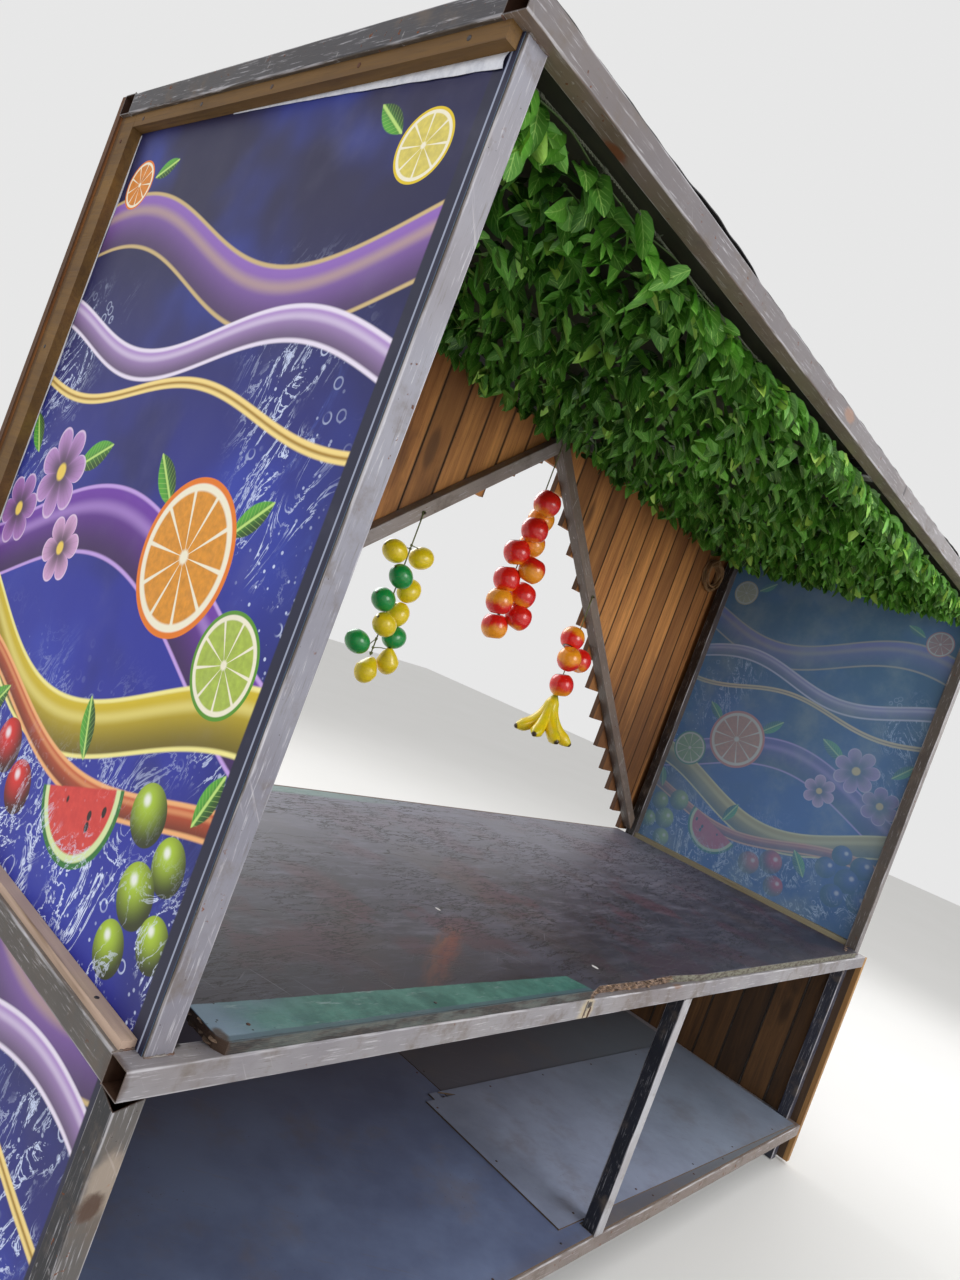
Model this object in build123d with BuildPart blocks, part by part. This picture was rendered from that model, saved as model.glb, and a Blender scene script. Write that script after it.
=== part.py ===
"""Street kiosk: a welded steel tube stall with a counter, a shelf, printed end banners and a boarded back.

Millimetres, +X to the customer's right, +Y to the back, +Z up, the ground at Z = 0.
The origin is at the bottom centre of the whole part.
"""
from build123d import *

import math
import os

# Driving sizes of the steel frame
frame_length = 2880.0
frame_depth = 1050.0
counter_height = 800.0
opening_height = 1280.0
tube_size = 40.0
tube_wall = 2.0
tube_corner = 3.0
post_inset_x = 30.0
post_inset_y = 20.0
leg_top_gap = 12.0
brace_trim = 120.0
left_brace_foot_drop = 27.0
left_brace_head_drop = 59.0
shelf_clearance = 110.0
middle_offset = 40.0

# Boards and timbers
board_width = 95.0
board_gap = 3.0
board_thickness = 18.0
sloped_boards = 12
left_board_lifts = (3.0, 24.0, 22.0)
right_board_lifts = (4.0, 22.0, 28.0, 44.0, 38.0, 20.0, 12.0, -2.0, -14.0, -24.0, -18.0, -5.0)
board_seam = 5.0
lower_board_clearance = 42.0
timber_width = 45.0
timber_thickness = 25.0
timber_clearance = 10.0
timber_drop = 4.0

# Counter board
counter_thickness = 18.0
counter_left_margin = 124.0
counter_post_gap = 10.0
counter_front_margin = 3.0
counter_back_overhang = 12.0
counter_break_start = 1010.0
counter_break_steps = ((42.0, 14.0), (234.0, 11.0), (364.0, 15.0), (520.0, 4.0))
counter_corner_cut = 26.0
counter_chip = 9.0

# Shelf sheets
sheet_thickness = 4.0
sheet_joint = 4.0
sheet_margin = 6.0
top_sheet_depth = 510.0
top_sheet_front = 52.0
top_sheet_overlap = 106.0
top_sheet_skew = 1.6
top_sheet_notch = (34.0, 26.0)
top_sheet_break = (58.0, 30.0)
post_notch_gap = 5.0

# Banners and the battens that hold them
banner_thickness = 1.5
banner_reveal = 4.0
batten_reveal = 8.0
banner_gap = 0.5
batten_thickness = 20.0
top_batten_height = 24.0
back_batten_width = 60.0
left_foot_height = 12.0
right_foot_height = 32.0
right_foot_width = 28.0
batten_gap = 1.0

# Roof
ceiling_thickness = 6.0
ceiling_margin = 24.0
cover_thickness = 3.0
cover_margin = 12.0
swell_start = 180.0
swell_length = 520.0
swell_height = 16.0
ivy_depth = 70.0
ivy_side_gap = 2.0
strand_width = 46.0
strand_length = 70.0
strand_taper = 4.0
strand_inset = 30.0

# Fruit garlands that hang from the braces; a fruit's place is across, forward and above the counter
soft_gap = 0.3
string_diameter = 4.0
stalk_size = 3.0
fruit_sides = 10
left_garland_place = 1050.0
centre_garland_place = 1500.0
right_garland_place = 1942.0
lemon_radius = 29.0
lemon_half = 34.0
lemon_fullness = 1.7
lemon_levels = (0, 0.4, 0.75, 0.97)
lemon_places = (
    (-47, 0, 725),
    (60, 0, 740),
    (-25, -22, 668),
    (58, 0, 638),
    (-34, 0, 593),
    (46, 0, 567),
    (-25, -22, 524),
    (62, 0, 505),
    (-64, 0, 460),
    (62, 0, 436),
)
lowest_lemon = 402.0
apple_radius = 33.0
apple_angles = (0, 36, 72)
apple_places = (
    (-19, -31, 1046),
    (31, -20, 999),
    (-28, -24, 956),
    (38, 0, 919),
    (-43, 0, 872),
    (9, -36, 848),
    (-36, 0, 793),
    (37, 0, 762),
    (-52, 0, 721),
    (48, 0, 695),
)
lowest_apple = 635.0
mixed_places = (
    (-43, 0, 690),
    (52, 0, 633),
    (-57, 0, 616),
    (-22, -30, 522),
)
banana_radius = 17.0
banana_bend_radius = 105.0
banana_sweep = 64.0
banana_tip = 5.0
banana_tip_length = 26.0
banana_lift = 14.0
banana_height = 462.0
banana_turns = (-90.0, -45.0, 0.0, 60.0)

# Places worked out from the sizes above
left_x = -(frame_length + timber_thickness) / 2
right_x = left_x + frame_length
front_y = -(frame_depth + board_thickness) / 2
back_y = front_y + frame_depth
counter_z = counter_height
roof_z = counter_z + opening_height
roof_top = roof_z + tube_size
shelf_z = shelf_clearance + tube_size
middle_x = (left_x + right_x) / 2 + middle_offset
half = tube_size / 2
whole_length = (left_x, right_x)
between_rails = (front_y + tube_size, back_y - tube_size)
post_left_x = left_x + post_inset_x + half
post_right_x = right_x - post_inset_x - half
post_front_y = front_y + post_inset_y + half
post_back_y = back_y - post_inset_y - half


def tube_section():
    """Draw the hollow square section with rounded outer corners in the sketch that is open."""
    RectangleRounded(tube_size, tube_size, tube_corner)
    Rectangle(tube_size - 2 * tube_wall, tube_size - 2 * tube_wall, mode=Mode.SUBTRACT)


def long_rail(x_range, y, z):
    """Tube along X between two limits, with open ends; y and z are its axis."""
    with BuildPart() as rail:
        with BuildSketch(Plane(origin=(x_range[0], y, z), x_dir=(0, 1, 0), z_dir=(1, 0, 0))):
            tube_section()
        extrude(amount=x_range[1] - x_range[0])
    return rail.part


def cross_rail(x, y_range, z):
    """Tube along Y between two limits; x and z are its axis."""
    with BuildPart() as rail:
        with BuildSketch(Plane(origin=(x, y_range[0], z), x_dir=(1, 0, 0), z_dir=(0, 1, 0))):
            tube_section()
        extrude(amount=y_range[1] - y_range[0])
    return rail.part


def upright(x, y, bottom, top):
    """Vertical tube from bottom to top; x and y are its axis."""
    with BuildPart() as post:
        with BuildSketch(Plane.XY.offset(bottom)):
            with Locations((x, y)):
                tube_section()
        extrude(amount=top - bottom)
    return post.part


def slab(x_range, y_range, z_range):
    """Plain rectangular board between three pairs of limits."""
    with BuildPart() as board:
        with Locations((x_range[0], y_range[0], z_range[0])):
            Box(
                x_range[1] - x_range[0],
                y_range[1] - y_range[0],
                z_range[1] - z_range[0],
                align=(Align.MIN, Align.MIN, Align.MIN),
            )
    return board.part


def brace_ends(side_x):
    """Foot and head of a brace's axis, from a corner of the counter to the middle of the roof.

    The left one lies lower, because its head butts against the right one from below.
    """
    is_left = side_x == left_x
    foot_drop = left_brace_foot_drop if is_left else 0
    head_drop = left_brace_head_drop if is_left else 0
    foot = Vector(side_x, back_y - half, counter_z - foot_drop)
    head = Vector(middle_x, back_y - half, roof_z - head_drop)
    return foot, head


def brace_height(x):
    """Height of the brace's axis over x."""
    foot, head = brace_ends(left_x if x < middle_x else right_x)
    return foot.Z + (head.Z - foot.Z) * (x - foot.X) / (head.X - foot.X)


# Counter ring
with BuildPart() as front_counter_rail:
    add(long_rail(whole_length, front_y + half, counter_z - half))

with BuildPart() as back_counter_rail:
    add(long_rail(whole_length, back_y - half, counter_z - half))

with BuildPart() as counter_side_rails:
    add(cross_rail(left_x + half, between_rails, counter_z - half))
    add(cross_rail(right_x - half, between_rails, counter_z - half))

# Legs; the front left one is cut at an angle under the rail, as on the real frame
leg_top = counter_z - tube_size
right_leg_y = front_y + tube_size + half

with BuildPart() as front_left_leg:
    add(upright(left_x + half, front_y + half, 0, leg_top))
    split(
        bisect_by=Plane(
            origin=(left_x, front_y, leg_top - leg_top_gap),
            z_dir=(-leg_top_gap, -leg_top_gap, tube_size),
        ),
        keep=Keep.BOTTOM,
    )

with BuildPart() as front_right_leg:
    add(upright(right_x - half, right_leg_y, 0, leg_top))

with BuildPart() as back_left_leg:
    add(upright(left_x + half, back_y - half, 0, leg_top))

with BuildPart() as back_right_leg:
    add(upright(right_x - half, back_y - half, 0, leg_top))

# Shelf ring between the legs, with a middle rail under the joint of the sheets
shelf_axis = shelf_z - half

with BuildPart() as shelf_front_rail:
    add(long_rail((left_x + tube_size, right_x), front_y + half, shelf_axis))

with BuildPart() as shelf_back_rail:
    add(long_rail((left_x + tube_size, right_x - tube_size), back_y - half, shelf_axis))

with BuildPart() as shelf_cross_rails:
    add(cross_rail(left_x + half, between_rails, shelf_axis))
    add(cross_rail(middle_x, between_rails, shelf_axis))
    add(cross_rail(right_x - half, (right_leg_y + half, between_rails[1]), shelf_axis))

with BuildPart() as front_middle_leg:
    add(upright(middle_x, front_y + half, shelf_z, leg_top))

# Upper posts
with BuildPart() as front_left_post:
    add(upright(post_left_x, post_front_y, counter_z, roof_z))

with BuildPart() as front_right_post:
    add(upright(post_right_x, post_front_y, counter_z, roof_z))

with BuildPart() as back_left_post:
    add(upright(post_left_x, post_back_y, counter_z, roof_z))

with BuildPart() as back_right_post:
    add(upright(post_right_x, post_back_y, counter_z, roof_z))

# Roof ring
with BuildPart() as roof_front_rail:
    add(long_rail(whole_length, front_y + half, roof_z + half))

with BuildPart() as roof_back_rail:
    add(long_rail(whole_length, back_y - half, roof_z + half))

with BuildPart() as roof_cross_rails:
    add(cross_rail(left_x + half, between_rails, roof_z + half))
    add(cross_rail(middle_x, between_rails, roof_z + half))
    add(cross_rail(right_x - half, between_rails, roof_z + half))


def brace(side_x, post_face, head_limit):
    """Diagonal tube in the back plane, trimmed flush to the rails, to the post and at its head."""
    foot, head = brace_ends(side_x)
    run = head - foot
    with BuildPart() as bar:
        with BuildSketch(Plane(origin=foot - run.normalized() * brace_trim, x_dir=(0, 1, 0), z_dir=run)):
            tube_section()
        extrude(amount=run.length + 2 * brace_trim)
        low_x, high_x = sorted((post_face, head_limit))
        with Locations(((low_x + high_x) / 2, back_y - half, (counter_z + roof_z) / 2)):
            Box(high_x - low_x, tube_size, opening_height, mode=Mode.INTERSECT)
    return bar.part


right_brace_foot, right_brace_head = brace_ends(right_x)
right_brace_run = (right_brace_head - right_brace_foot).normalized()
below_right_brace = Vector(-right_brace_run.Z, 0, right_brace_run.X)

with BuildPart() as left_brace:
    add(brace(left_x, post_left_x + half, middle_x + brace_trim))
    split(
        bisect_by=Plane(
            origin=right_brace_head + below_right_brace * half,
            z_dir=below_right_brace,
        ),
        keep=Keep.TOP,
    )

with BuildPart() as right_brace:
    add(brace(right_x, post_right_x - half, middle_x))

# Upright boards behind the braces; the first are sawn along the left brace, the others square past it
board_count = round(frame_length / (board_width + board_gap))
board_pitch = frame_length / board_count
board_face = (back_y, back_y + board_thickness)


def board_range(index):
    """Left and right edge of a back board."""
    start = left_x + index * board_pitch + board_gap / 2
    return (start, start + board_pitch - board_gap)


middle_board = round((middle_x - left_x) / board_pitch)
lowest_foot = counter_z + counter_thickness + board_seam


def board_feet(index):
    """Lower corners of a back board: on the brace's axis, or square above its lower edge by a lift."""
    lines = [brace_height(edge) for edge in board_range(index)]
    if index < sloped_boards:
        return [max(line, lowest_foot) for line in lines]
    lifts = left_board_lifts if index < middle_board else right_board_lifts
    first = sloped_boards if index < middle_board else middle_board
    foot = min(lines) + lifts[(index - first) % len(lifts)]
    return [max(foot, lowest_foot)] * 2


def back_board(index):
    """Back board from its feet up to the top of the roof."""
    start, end = board_range(index)
    start_foot, end_foot = board_feet(index)
    with BuildPart() as plank:
        with BuildSketch(Plane.XZ.offset(-back_y)):
            with BuildLine():
                Polyline(
                    (start, start_foot), (end, end_foot), (end, roof_top), (start, roof_top), close=True
                )
            make_face()
        extrude(amount=-board_thickness)
    return plank.part


with BuildPart() as back_left_boards:
    for index in range(middle_board):
        add(back_board(index))

with BuildPart() as back_right_boards:
    for index in range(middle_board, board_count):
        add(back_board(index))

with BuildPart() as lower_back_boards:
    for index in range(board_count):
        add(slab(board_range(index), board_face, (lower_board_clearance, counter_z - board_seam)))

# Boards and corner timber outside the right end, below the counter
end_board_start = front_y + timber_width
end_board_run = back_y + board_thickness - end_board_start
end_board_count = round(end_board_run / (board_width + board_gap))
end_board_pitch = end_board_run / end_board_count

with BuildPart() as right_end_boards:
    for index in range(end_board_count):
        start = end_board_start + index * end_board_pitch + board_gap / 2
        add(
            slab(
                (right_x, right_x + board_thickness),
                (start, start + end_board_pitch - board_gap),
                (lower_board_clearance, counter_z - board_seam),
            )
        )

with BuildPart() as right_corner_timber:
    add(
        slab(
            (right_x, right_x + timber_thickness),
            (front_y, front_y + timber_width),
            (timber_clearance, counter_z - timber_drop),
        )
    )

# Counter board with its broken front edge and its chipped right corner
counter_left = left_x + counter_left_margin
counter_right = right_x - post_inset_x - tube_size - counter_post_gap
counter_front = front_y + counter_front_margin
counter_back = back_y + counter_back_overhang
break_start = left_x + counter_break_start
break_points = [(break_start + along, counter_front + depth) for along, depth in counter_break_steps]

with BuildPart() as counter_board:
    with BuildSketch(Plane.XY.offset(counter_z)):
        with BuildLine():
            Polyline(
                (counter_left + counter_chip, counter_front),
                (break_start, counter_front),
                *break_points,
                (counter_right - counter_corner_cut, break_points[-1][1]),
                (counter_right, counter_front + counter_corner_cut),
                (counter_right, counter_back),
                (counter_left, counter_back),
                (counter_left, counter_front + 2 * counter_chip),
                close=True,
            )
        make_face()
    extrude(amount=counter_thickness)

# Shelf sheets: two on the rails, notched round the middle leg, and a third one askew on their joint
sheet_left = left_x + tube_size + sheet_margin
sheet_right = right_x - tube_size - sheet_margin
sheet_front = front_y + sheet_margin
sheet_back = back_y - sheet_margin
notch_half = half + post_notch_gap
notch_depth = tube_size + post_notch_gap - sheet_margin


def shelf_sheet(x_range):
    """Sheet on the shelf rails, with the notch for the middle leg cut out."""
    with BuildPart() as sheet:
        add(slab(x_range, (sheet_front, sheet_back), (shelf_z, shelf_z + sheet_thickness)))
        with Locations((middle_x, sheet_front, shelf_z)):
            Box(
                2 * notch_half,
                notch_depth,
                sheet_thickness,
                align=(Align.CENTER, Align.MIN, Align.MIN),
                mode=Mode.SUBTRACT,
            )
    return sheet.part


with BuildPart() as shelf_left_sheet:
    add(shelf_sheet((sheet_left, middle_x - sheet_joint / 2)))

with BuildPart() as shelf_right_sheet:
    add(shelf_sheet((middle_x + sheet_joint / 2, sheet_right)))

top_sheet_left = middle_x - top_sheet_overlap
top_sheet_z = shelf_z + sheet_thickness
top_sheet_length = sheet_right - top_sheet_left

with BuildPart() as shelf_top_sheet:
    with BuildSketch(Plane.XY.offset(top_sheet_z)):
        with Locations(Location((top_sheet_left, front_y + top_sheet_front, 0), (0, 0, -top_sheet_skew))):
            Rectangle(top_sheet_length, top_sheet_depth, align=(Align.MIN, Align.MIN))
            with Locations((0, top_sheet_depth)):
                Rectangle(*top_sheet_notch, align=(Align.MIN, Align.MAX), mode=Mode.SUBTRACT)
            with BuildLine():
                Polyline((0, 0), (top_sheet_break[0], 0), (0, top_sheet_break[1]), close=True)
            make_face(mode=Mode.SUBTRACT)
    extrude(amount=sheet_thickness)

# Printed banners: two on the posts, one between the left legs
banner_front = post_front_y - half + banner_reveal
banner_back = post_back_y + half
left_banner_x = left_x + post_inset_x - banner_gap - banner_thickness
right_banner_x = right_x - post_inset_x + banner_gap

left_banner_range = (left_banner_x, left_banner_x + banner_thickness)
right_banner_range = (right_banner_x, right_banner_x + banner_thickness)

with BuildPart() as left_upper_banner:
    add(slab(left_banner_range, (banner_front, banner_back), (counter_z, roof_z)))

with BuildPart() as right_upper_banner:
    add(slab(right_banner_range, (banner_front, banner_back), (counter_z, roof_z)))

with BuildPart() as left_lower_banner:
    add(
        slab(
            (left_x + half - banner_thickness / 2, left_x + half + banner_thickness / 2),
            (front_y + tube_size, back_y - tube_size),
            (shelf_z, leg_top),
        )
    )

# Battens: outside each upper banner at its top and back, and at its foot
left_batten_end = left_banner_x - banner_gap
right_batten_start = right_banner_x + banner_thickness + banner_gap
left_batten_x = (left_batten_end - batten_thickness, left_batten_end)
right_batten_x = (right_batten_start, right_batten_start + batten_thickness)
back_batten_y = (back_y - back_batten_width, back_y)
top_batten_y = (post_front_y - half + batten_reveal, back_batten_y[0] - batten_gap)
top_batten_z = (roof_z - top_batten_height, roof_z)
left_foot_y = (front_y + tube_size, back_batten_y[0] - batten_gap)
right_foot_y = (post_front_y + half + batten_gap, post_back_y - half - batten_gap)
right_foot_x = (right_x - post_inset_x - right_foot_width, right_x - post_inset_x)

with BuildPart() as left_end_battens:
    add(slab(left_batten_x, top_batten_y, top_batten_z))
    add(slab(left_batten_x, back_batten_y, (counter_z, roof_z)))
    add(slab(left_batten_x, left_foot_y, (counter_z, counter_z + left_foot_height)))

with BuildPart() as right_end_battens:
    add(slab(right_batten_x, top_batten_y, top_batten_z))
    add(slab(right_batten_x, back_batten_y, (counter_z, roof_z)))
    add(slab(right_foot_x, right_foot_y, (counter_z, counter_z + right_foot_height)))

# Ceiling board on the roof ring, and the black roofing sheet with its low swell
with BuildPart() as ceiling_board:
    add(
        slab(
            (left_x + ceiling_margin, right_x - ceiling_margin),
            (front_y + ceiling_margin, back_y),
            (roof_top, roof_top + ceiling_thickness),
        )
    )

cover_z = roof_top + ceiling_thickness
cover_left = left_x + cover_margin
cover_right = right_x - cover_margin

with BuildPart() as roof_cover:
    with BuildSketch(Plane.XZ.offset(-(front_y + cover_margin))):
        with BuildLine():
            Line((cover_left, cover_z), (left_x + swell_start, cover_z))
            ThreePointArc(
                (left_x + swell_start, cover_z),
                (left_x + swell_start + swell_length / 2, cover_z + swell_height),
                (left_x + swell_start + swell_length, cover_z),
            )
            Line((left_x + swell_start + swell_length, cover_z), (cover_right, cover_z))
            offset(amount=cover_thickness, side=Side.LEFT)
        make_face()
    extrude(amount=-(frame_depth - cover_margin))

# Mat of leaves tied under the roof rails between the posts, with one loose strand by the front post
ivy_left = post_left_x + half + ivy_side_gap
ivy_right = post_right_x - half - ivy_side_gap
ivy_front = front_y + tube_size + ivy_side_gap
ivy_back = back_y - tube_size - string_diameter - ivy_side_gap
ivy_top = roof_z - soft_gap
ivy_bottom = ivy_top - ivy_depth
strand_x = ivy_left + strand_inset
strand_y = ivy_front + strand_inset

with BuildPart() as ivy_mat:
    add(slab((ivy_left, ivy_right), (ivy_front, ivy_back), (ivy_bottom, ivy_top)))
    with BuildSketch(Plane.XY.offset(ivy_bottom)):
        with Locations((strand_x, strand_y)):
            Circle(strand_width / 2)
    extrude(amount=-strand_length, taper=strand_taper)

# Garlands of artificial fruit: a string tied to the front of a brace, with fruit on both sides of it
string_y = back_y - tube_size - string_diameter / 2
left_garland_x = left_x + left_garland_place
centre_garland_x = left_x + centre_garland_place
right_garland_x = left_x + right_garland_place


def string(x, foot):
    """Straight string from the middle of the brace's front face down to its foot."""
    with BuildPart() as cord:
        with BuildSketch(Plane.XY.offset(foot)):
            with Locations((x, string_y)):
                Circle(string_diameter / 2)
        extrude(amount=brace_height(x) - foot)
    return cord.part


def tapered_prism(plane, start, end, length):
    """Prism whose polygon shrinks from one half-width to another; it stands on the plane."""
    with BuildPart() as prism:
        with BuildSketch(plane):
            RegularPolygon(start, fruit_sides, major_radius=False, rotation=180 / fruit_sides)
        extrude(amount=length, taper=math.degrees(math.atan2(start - end, length)))
    return prism.part


def faceted_fruit(rings):
    """Fruit with flat facets: tapered prisms between rings of (height, half-width), mirrored below."""
    with BuildPart() as body:
        for (low, wide), (high, narrow) in zip(rings, rings[1:]):
            add(tapered_prism(Plane.XY.offset(low), wide, narrow, high - low))
        mirror(about=Plane.XY)
    return body.part


def garland(x, places, body):
    """Fruit beside a string at x, each with a thin stalk that ends just short of the string."""
    stalk_start = string_diameter / 2 + soft_gap
    with BuildPart() as fruit:
        for across, forward, height in places:
            with Locations((x + across, string_y + forward, counter_z + height)):
                add(body)
            turn = math.degrees(math.atan2(forward, across))
            with Locations(Location((x, string_y, counter_z + height), (0, 0, turn))):
                with Locations((stalk_start, 0, 0)):
                    Box(
                        math.hypot(across, forward) - stalk_start,
                        stalk_size,
                        stalk_size,
                        align=(Align.MIN, Align.CENTER, Align.CENTER),
                    )
    return fruit.part


lemon = faceted_fruit(
    [(lemon_half * level, lemon_radius * (1 - level**lemon_fullness)) for level in lemon_levels]
)
lemon_foot = counter_z + lowest_lemon + lemon_half * lemon_levels[-1] + soft_gap

with BuildPart() as left_garland_fruit:
    add(garland(left_garland_x, lemon_places, lemon))
    with Locations((left_garland_x, string_y, counter_z + lowest_lemon)):
        add(lemon)

with BuildPart() as left_garland_string:
    add(string(left_garland_x, lemon_foot))

apple = faceted_fruit(
    [
        (apple_radius * math.sin(angle), apple_radius * math.cos(angle))
        for angle in map(math.radians, apple_angles)
    ]
)
apple_crown = apple_radius * math.sin(math.radians(apple_angles[-1]))
apple_foot = counter_z + lowest_apple + apple_crown + soft_gap

with BuildPart() as centre_garland_fruit:
    add(garland(centre_garland_x, apple_places, apple))
    with Locations((centre_garland_x, string_y, counter_z + lowest_apple)):
        add(apple)

with BuildPart() as centre_garland_string:
    add(string(centre_garland_x, apple_foot))

# Bananas fan out from the foot of the right string; each is a bent tube with tapered ends
banana_turn = math.radians(banana_sweep)
banana_foot = Plane(
    origin=(
        0,
        -banana_bend_radius * (1 - math.cos(banana_turn)),
        -banana_bend_radius * math.sin(banana_turn),
    ),
    x_dir=(1, 0, 0),
    z_dir=(0, -math.sin(banana_turn), -math.cos(banana_turn)),
)

with BuildPart() as banana:
    with BuildSketch(Plane.XY):
        RegularPolygon(banana_radius, fruit_sides, major_radius=False, rotation=180 / fruit_sides)
    revolve(axis=Axis((0, -banana_bend_radius, 0), (-1, 0, 0)), revolution_arc=banana_sweep)
    add(tapered_prism(banana_foot, banana_radius, banana_tip, banana_tip_length))
    add(tapered_prism(Plane.XY, banana_radius, banana_tip, banana_lift))

banana_top = counter_z + banana_height

with BuildPart() as right_garland_fruit:
    add(garland(right_garland_x, mixed_places, apple))
    for turn in banana_turns:
        with Locations(Location((right_garland_x, string_y, banana_top), (0, 0, turn))):
            add(banana.part)

with BuildPart() as right_garland_string:
    add(string(right_garland_x, banana_top + banana_lift + soft_gap))

nodes = {
    "front_counter_rail": front_counter_rail,
    "back_counter_rail": back_counter_rail,
    "counter_side_rails": counter_side_rails,
    "front_left_leg": front_left_leg,
    "front_right_leg": front_right_leg,
    "back_left_leg": back_left_leg,
    "back_right_leg": back_right_leg,
    "front_middle_leg": front_middle_leg,
    "shelf_front_rail": shelf_front_rail,
    "shelf_back_rail": shelf_back_rail,
    "shelf_cross_rails": shelf_cross_rails,
    "front_left_post": front_left_post,
    "front_right_post": front_right_post,
    "back_left_post": back_left_post,
    "back_right_post": back_right_post,
    "roof_front_rail": roof_front_rail,
    "roof_back_rail": roof_back_rail,
    "roof_cross_rails": roof_cross_rails,
    "left_brace": left_brace,
    "right_brace": right_brace,
    "back_left_boards": back_left_boards,
    "back_right_boards": back_right_boards,
    "lower_back_boards": lower_back_boards,
    "right_end_boards": right_end_boards,
    "right_corner_timber": right_corner_timber,
    "counter_board": counter_board,
    "shelf_left_sheet": shelf_left_sheet,
    "shelf_right_sheet": shelf_right_sheet,
    "shelf_top_sheet": shelf_top_sheet,
    "left_upper_banner": left_upper_banner,
    "right_upper_banner": right_upper_banner,
    "left_lower_banner": left_lower_banner,
    "left_end_battens": left_end_battens,
    "right_end_battens": right_end_battens,
    "ceiling_board": ceiling_board,
    "roof_cover": roof_cover,
    "ivy_mat": ivy_mat,
    "left_garland_fruit": left_garland_fruit,
    "centre_garland_fruit": centre_garland_fruit,
    "right_garland_fruit": right_garland_fruit,
    "left_garland_string": left_garland_string,
    "centre_garland_string": centre_garland_string,
    "right_garland_string": right_garland_string,
}

os.makedirs("parts", exist_ok=True)
for name, builder in nodes.items():
    builder.part.label = name
    export_step(builder.part, f"parts/{name}.step")
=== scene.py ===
"""Looks of the street kiosk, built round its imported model.

Metres, +X to the customer's right, +Y to the back, +Z up, the ground at Z = 0.
"""

import math

import bpy
import numpy as np
from mathutils import Matrix, Vector


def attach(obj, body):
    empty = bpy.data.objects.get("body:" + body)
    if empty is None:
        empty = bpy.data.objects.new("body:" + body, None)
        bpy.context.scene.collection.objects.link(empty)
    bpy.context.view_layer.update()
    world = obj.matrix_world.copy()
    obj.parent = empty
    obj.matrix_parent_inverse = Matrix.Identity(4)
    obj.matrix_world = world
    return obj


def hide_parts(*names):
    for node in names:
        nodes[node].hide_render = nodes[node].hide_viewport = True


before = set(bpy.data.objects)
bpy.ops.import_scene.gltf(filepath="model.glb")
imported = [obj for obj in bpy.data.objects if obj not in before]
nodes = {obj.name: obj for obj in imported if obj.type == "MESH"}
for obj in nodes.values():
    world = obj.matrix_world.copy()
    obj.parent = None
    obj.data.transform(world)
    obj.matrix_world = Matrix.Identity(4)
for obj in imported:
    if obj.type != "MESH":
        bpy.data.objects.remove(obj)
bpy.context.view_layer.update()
random = np.random.default_rng(20)

# Places of the frame, from the part's driving sizes
TUBE = 0.040
HALF = TUBE / 2
LEFT, RIGHT = -1.4525, 1.4275
FRONT, BACK = -0.534, 0.516
MIDDLE = 0.0275
COUNTER, ROOF = 0.800, 2.080
COUNTER_TOP = COUNTER + 0.018
SHELF = 0.150
POST_LEFT, POST_RIGHT = LEFT + 0.050, RIGHT - 0.050
POST_FRONT, POST_BACK = FRONT + 0.040, BACK - 0.040
BOARD_COUNT = 29
BOARD_PITCH = (RIGHT - LEFT) / BOARD_COUNT
BOARD_FACE = BACK + 0.018
END_BOARD_START, END_BOARD_PITCH = FRONT + 0.045, 0.1023
STRING_DIAMETER = 0.004
STRING_Y = 0.474
LEFT_STRING, CENTRE_STRING, RIGHT_STRING = -0.4025, 0.0475, 0.4895

# Camera

CAMERA_PLACE = (-2.0742, -1.3430, 1.4138)
CAMERA_TURN, CAMERA_DIP, CAMERA_TILT = -48.88, 0.73, 20.73
FOCAL_LENGTH, SENSOR_WIDTH = 24.955, 36.0
lens = bpy.data.cameras.new("camera")
camera = bpy.data.objects.new("camera", lens)
bpy.context.collection.objects.link(camera)
bpy.context.scene.camera = camera
lens.sensor_width = SENSOR_WIDTH
lens.lens = FOCAL_LENGTH
turn = Matrix.Rotation(math.radians(CAMERA_TURN), 4, "Z")
dip = Matrix.Rotation(math.radians(90 - CAMERA_DIP), 4, "X")
tilt = Matrix.Rotation(math.radians(CAMERA_TILT), 4, "Z")
camera.matrix_world = Matrix.Translation(CAMERA_PLACE) @ turn @ dip @ tilt

# Strings of the garlands

# By piece: node, place along the counter, height of the pin, heights of two bends, length
STRINGS = {
    "left_string": ("left_garland_string", LEFT_STRING, 1.6584, (1.5900, 1.4300), 0.4231),
    "centre_string": ("centre_garland_string", CENTRE_STRING, 2.0617, (1.9500, 1.7000), 0.5950),
    "right_string": ("right_garland_string", RIGHT_STRING, 1.6576, (1.5800, 1.4300), 0.3813),
}


def cord_line(name, points, diameter):
    """A cord as one smooth spline whose control points are given."""
    data = bpy.data.curves.new(name, "CURVE")
    data.dimensions = "3D"
    data.bevel_depth = 1.0
    data.bevel_resolution = 3
    data.use_fill_caps = True
    spline = data.splines.new("NURBS")
    spline.points.add(len(points) - 1)
    spline.points.foreach_set("co", np.column_stack([points, np.ones(len(points))]).ravel())
    spline.points.foreach_set("radius", np.full(len(points), diameter / 2))
    spline.order_u = 3
    spline.use_endpoint_u = True
    spline.resolution_u = 12
    piece = bpy.data.objects.new(name, data)
    bpy.context.collection.objects.link(piece)
    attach(piece, "root")
    return piece


strings = {}
for name, (node, x, top, (upper, lower), length) in STRINGS.items():
    line = [(x, top), (x, upper), (x + 0.001, lower), (x, top - length)]
    strings[name] = cord_line(name, [(x, STRING_Y, z) for x, z in line], STRING_DIAMETER)

# Finishes


def light_of(colour):
    """Linear light of a colour given in screen values from 0 to 255."""
    levels = np.array(colour) / 255
    return np.where(levels <= 0.04045, levels / 12.92, ((levels + 0.055) / 1.055) ** 2.4).tolist()


def shade(colour, share):
    """A screen colour made darker by a share."""
    return tuple(share * level for level in colour)


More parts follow.
